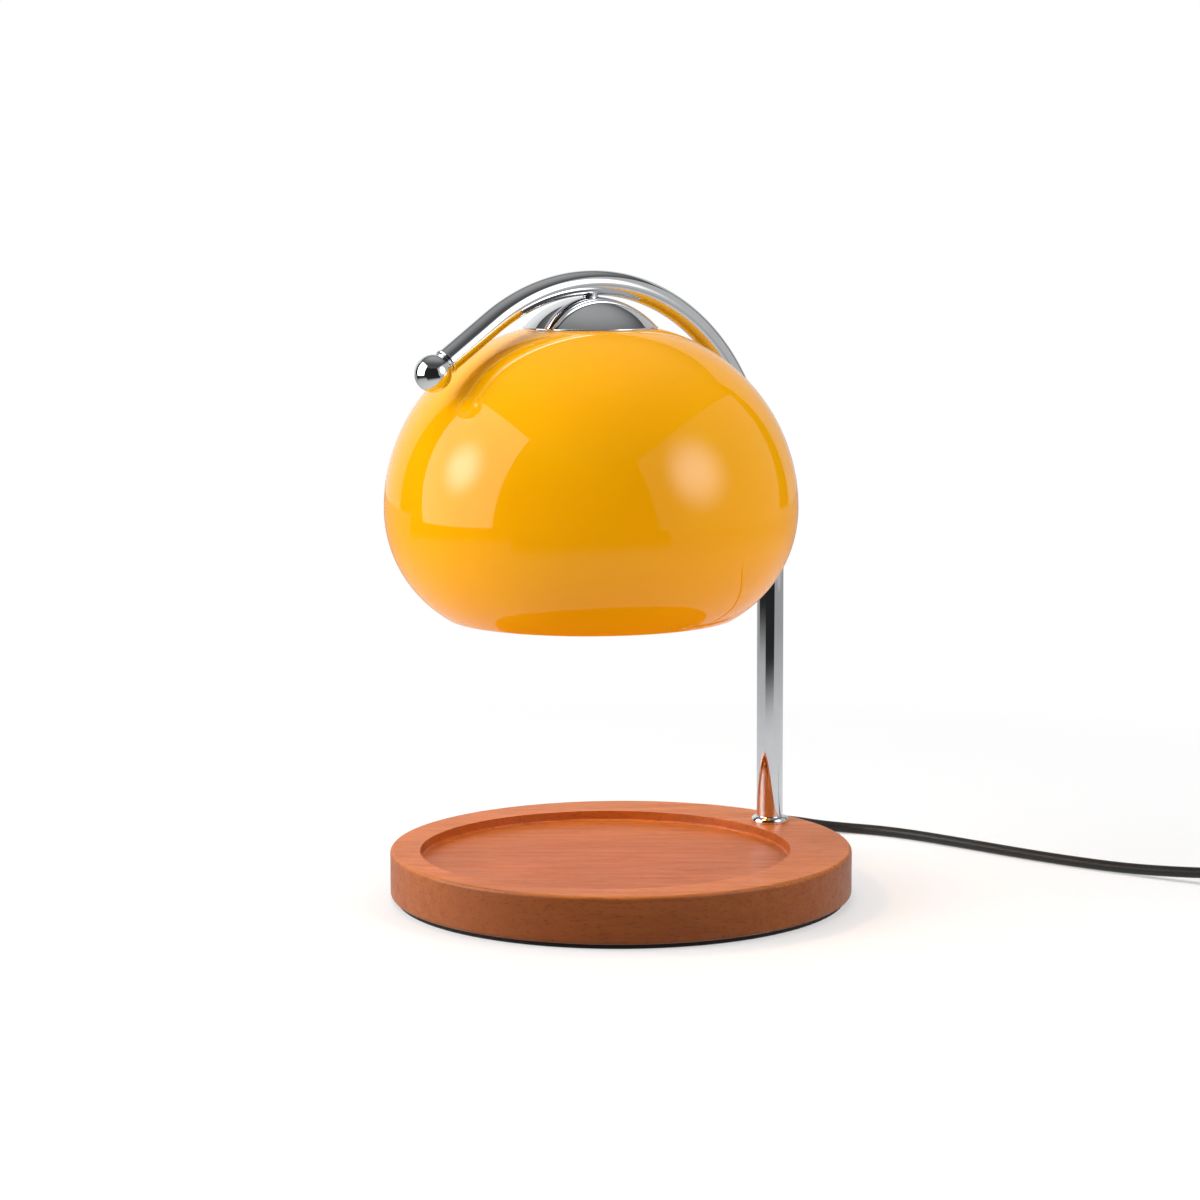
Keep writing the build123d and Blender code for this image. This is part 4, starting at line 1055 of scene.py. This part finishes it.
def softbox(name, place, glow):
    """A soft light that faces the shade."""
    azimuth, elevation, distance, half_width, half_height = place
    direction = toward(azimuth, elevation)
    middle = SHADE_MIDDLE + direction * distance
    right = Vector((0, 0, 1)).cross(direction).normalized()
    up = direction.cross(right)
    wide = distance * sin(radians(half_width)) / cos(radians(half_width))
    high = distance * sin(radians(half_height)) / cos(radians(half_height))
    square = [(-wide, -high, 0), (wide, -high, 0), (wide, high, 0), (-wide, high, 0)]
    panel = stage_mesh(name, square, [(0, 1, 2, 3)], glow_material(name, *glow))
    turn = Matrix((right, up, right.cross(up))).transposed().to_4x4()
    panel.matrix_world = Matrix.Translation(middle) @ turn
    panel.visible_camera = False


def card(name, azimuths, inner, outer, low, high, material):
    """A band round the shade's axis that only reflections show, from one radius and height to another."""
    start, end = azimuths
    vertices = []
    for i in range(CARD_STEPS + 1):
        a = radians(start + (end - start) * i / CARD_STEPS)
        for radius, height in ((inner, low), (outer, high)):
            vertices.append((shade_x + radius * cos(a), radius * sin(a), height))
    faces = [(2 * i, 2 * i + 1, 2 * i + 3, 2 * i + 2) for i in range(CARD_STEPS)]
    only_reflected(stage_mesh(name, vertices, faces, material))


def area_lamp(name, size, power, place):
    """A soft lamp that reflections don't show."""
    data = bpy.data.lights.new(name, "AREA")
    data.size = size
    data.energy = power
    lamp = link(name, data)
    lamp.location = place
    lamp.visible_glossy = False
    return lamp


def add_floor():
    """The floor that carries the shadow."""
    half = FLOOR_SIZE / 2
    square = [(-half, -half, 0), (half, -half, 0), (half, half, 0), (-half, half, 0)]
    stage_mesh("studio_floor", square, [(0, 1, 2, 3)], floor_material())


def add_lights():
    """Two softboxes that the shade reflects, a lamp overhead and a weak one low behind the base."""
    softbox("softbox_left", LEFT_BOX, LEFT_BOX_GLOW)
    softbox("softbox_right", RIGHT_BOX, RIGHT_BOX_GLOW)
    area_lamp("overhead", OVERHEAD_SIZE, OVERHEAD_POWER, OVERHEAD_PLACE)
    fill = area_lamp("fill", FILL_SIZE, FILL_POWER, FILL_PLACE)
    fill.data.spread = radians(FILL_SPREAD)
    fill.rotation_mode = "QUATERNION"
    fill.rotation_quaternion = (FILL_AIM - FILL_PLACE).to_track_quat("-Z", "Y")


def add_room():
    """The room that chrome and glass show: dark walls, a pale backdrop, a grey ceiling and the table."""
    wall = (ROOM_RADIUS, ROOM_RADIUS, ROOM_LOW, CEILING_HEIGHT)
    card("studio_wall", WALL_AZIMUTHS, *wall, glow_material("studio_dark", DARK_LEVEL))
    card("studio_backdrop", BACKDROP_AZIMUTHS, *wall, glow_material("studio_backdrop", *BACKDROP_GLOW))
    flat = (
        ("studio_ceiling", ALL_ROUND, CEILING_HOLE, CEILING_HEIGHT, CEILING_GLOW),
        ("table_top", ALL_ROUND, TABLE_INNER, TABLE_LEVEL, TABLE_GLOW),
        ("table_front", FRONT_AZIMUTHS, FRONT_INNER, FRONT_LEVEL, FRONT_GLOW),
        ("table_left", LEFT_AZIMUTHS, LEFT_INNER, LEFT_LEVEL, LEFT_GLOW),
    )
    for name, azimuths, inner, level, glow in flat:
        card(name, azimuths, inner, ROOM_RADIUS, level, level, glow_material(name, *glow))


def add_world():
    """White where it is seen, and little light from it elsewhere."""
    world = bpy.data.worlds.new("studio")
    bpy.context.scene.world = world
    world.use_nodes = True
    tree = world.node_tree
    background = tree.nodes["Background"]
    tree.links.new(remap(tree, seen_ray(tree), 0, 1, AMBIENT, 1.0), background.inputs["Strength"])
    background.inputs["Color"].default_value = (1, 1, 1, 1)
    bpy.context.scene.view_settings.view_transform = "Standard"


add_camera()
paint_nodes()
add_cords()
add_glass_shade()
add_dome()
add_boss()
add_arch()
add_stem()
add_floor()
add_lights()
add_room()
add_world()
bpy.context.view_layer.update()
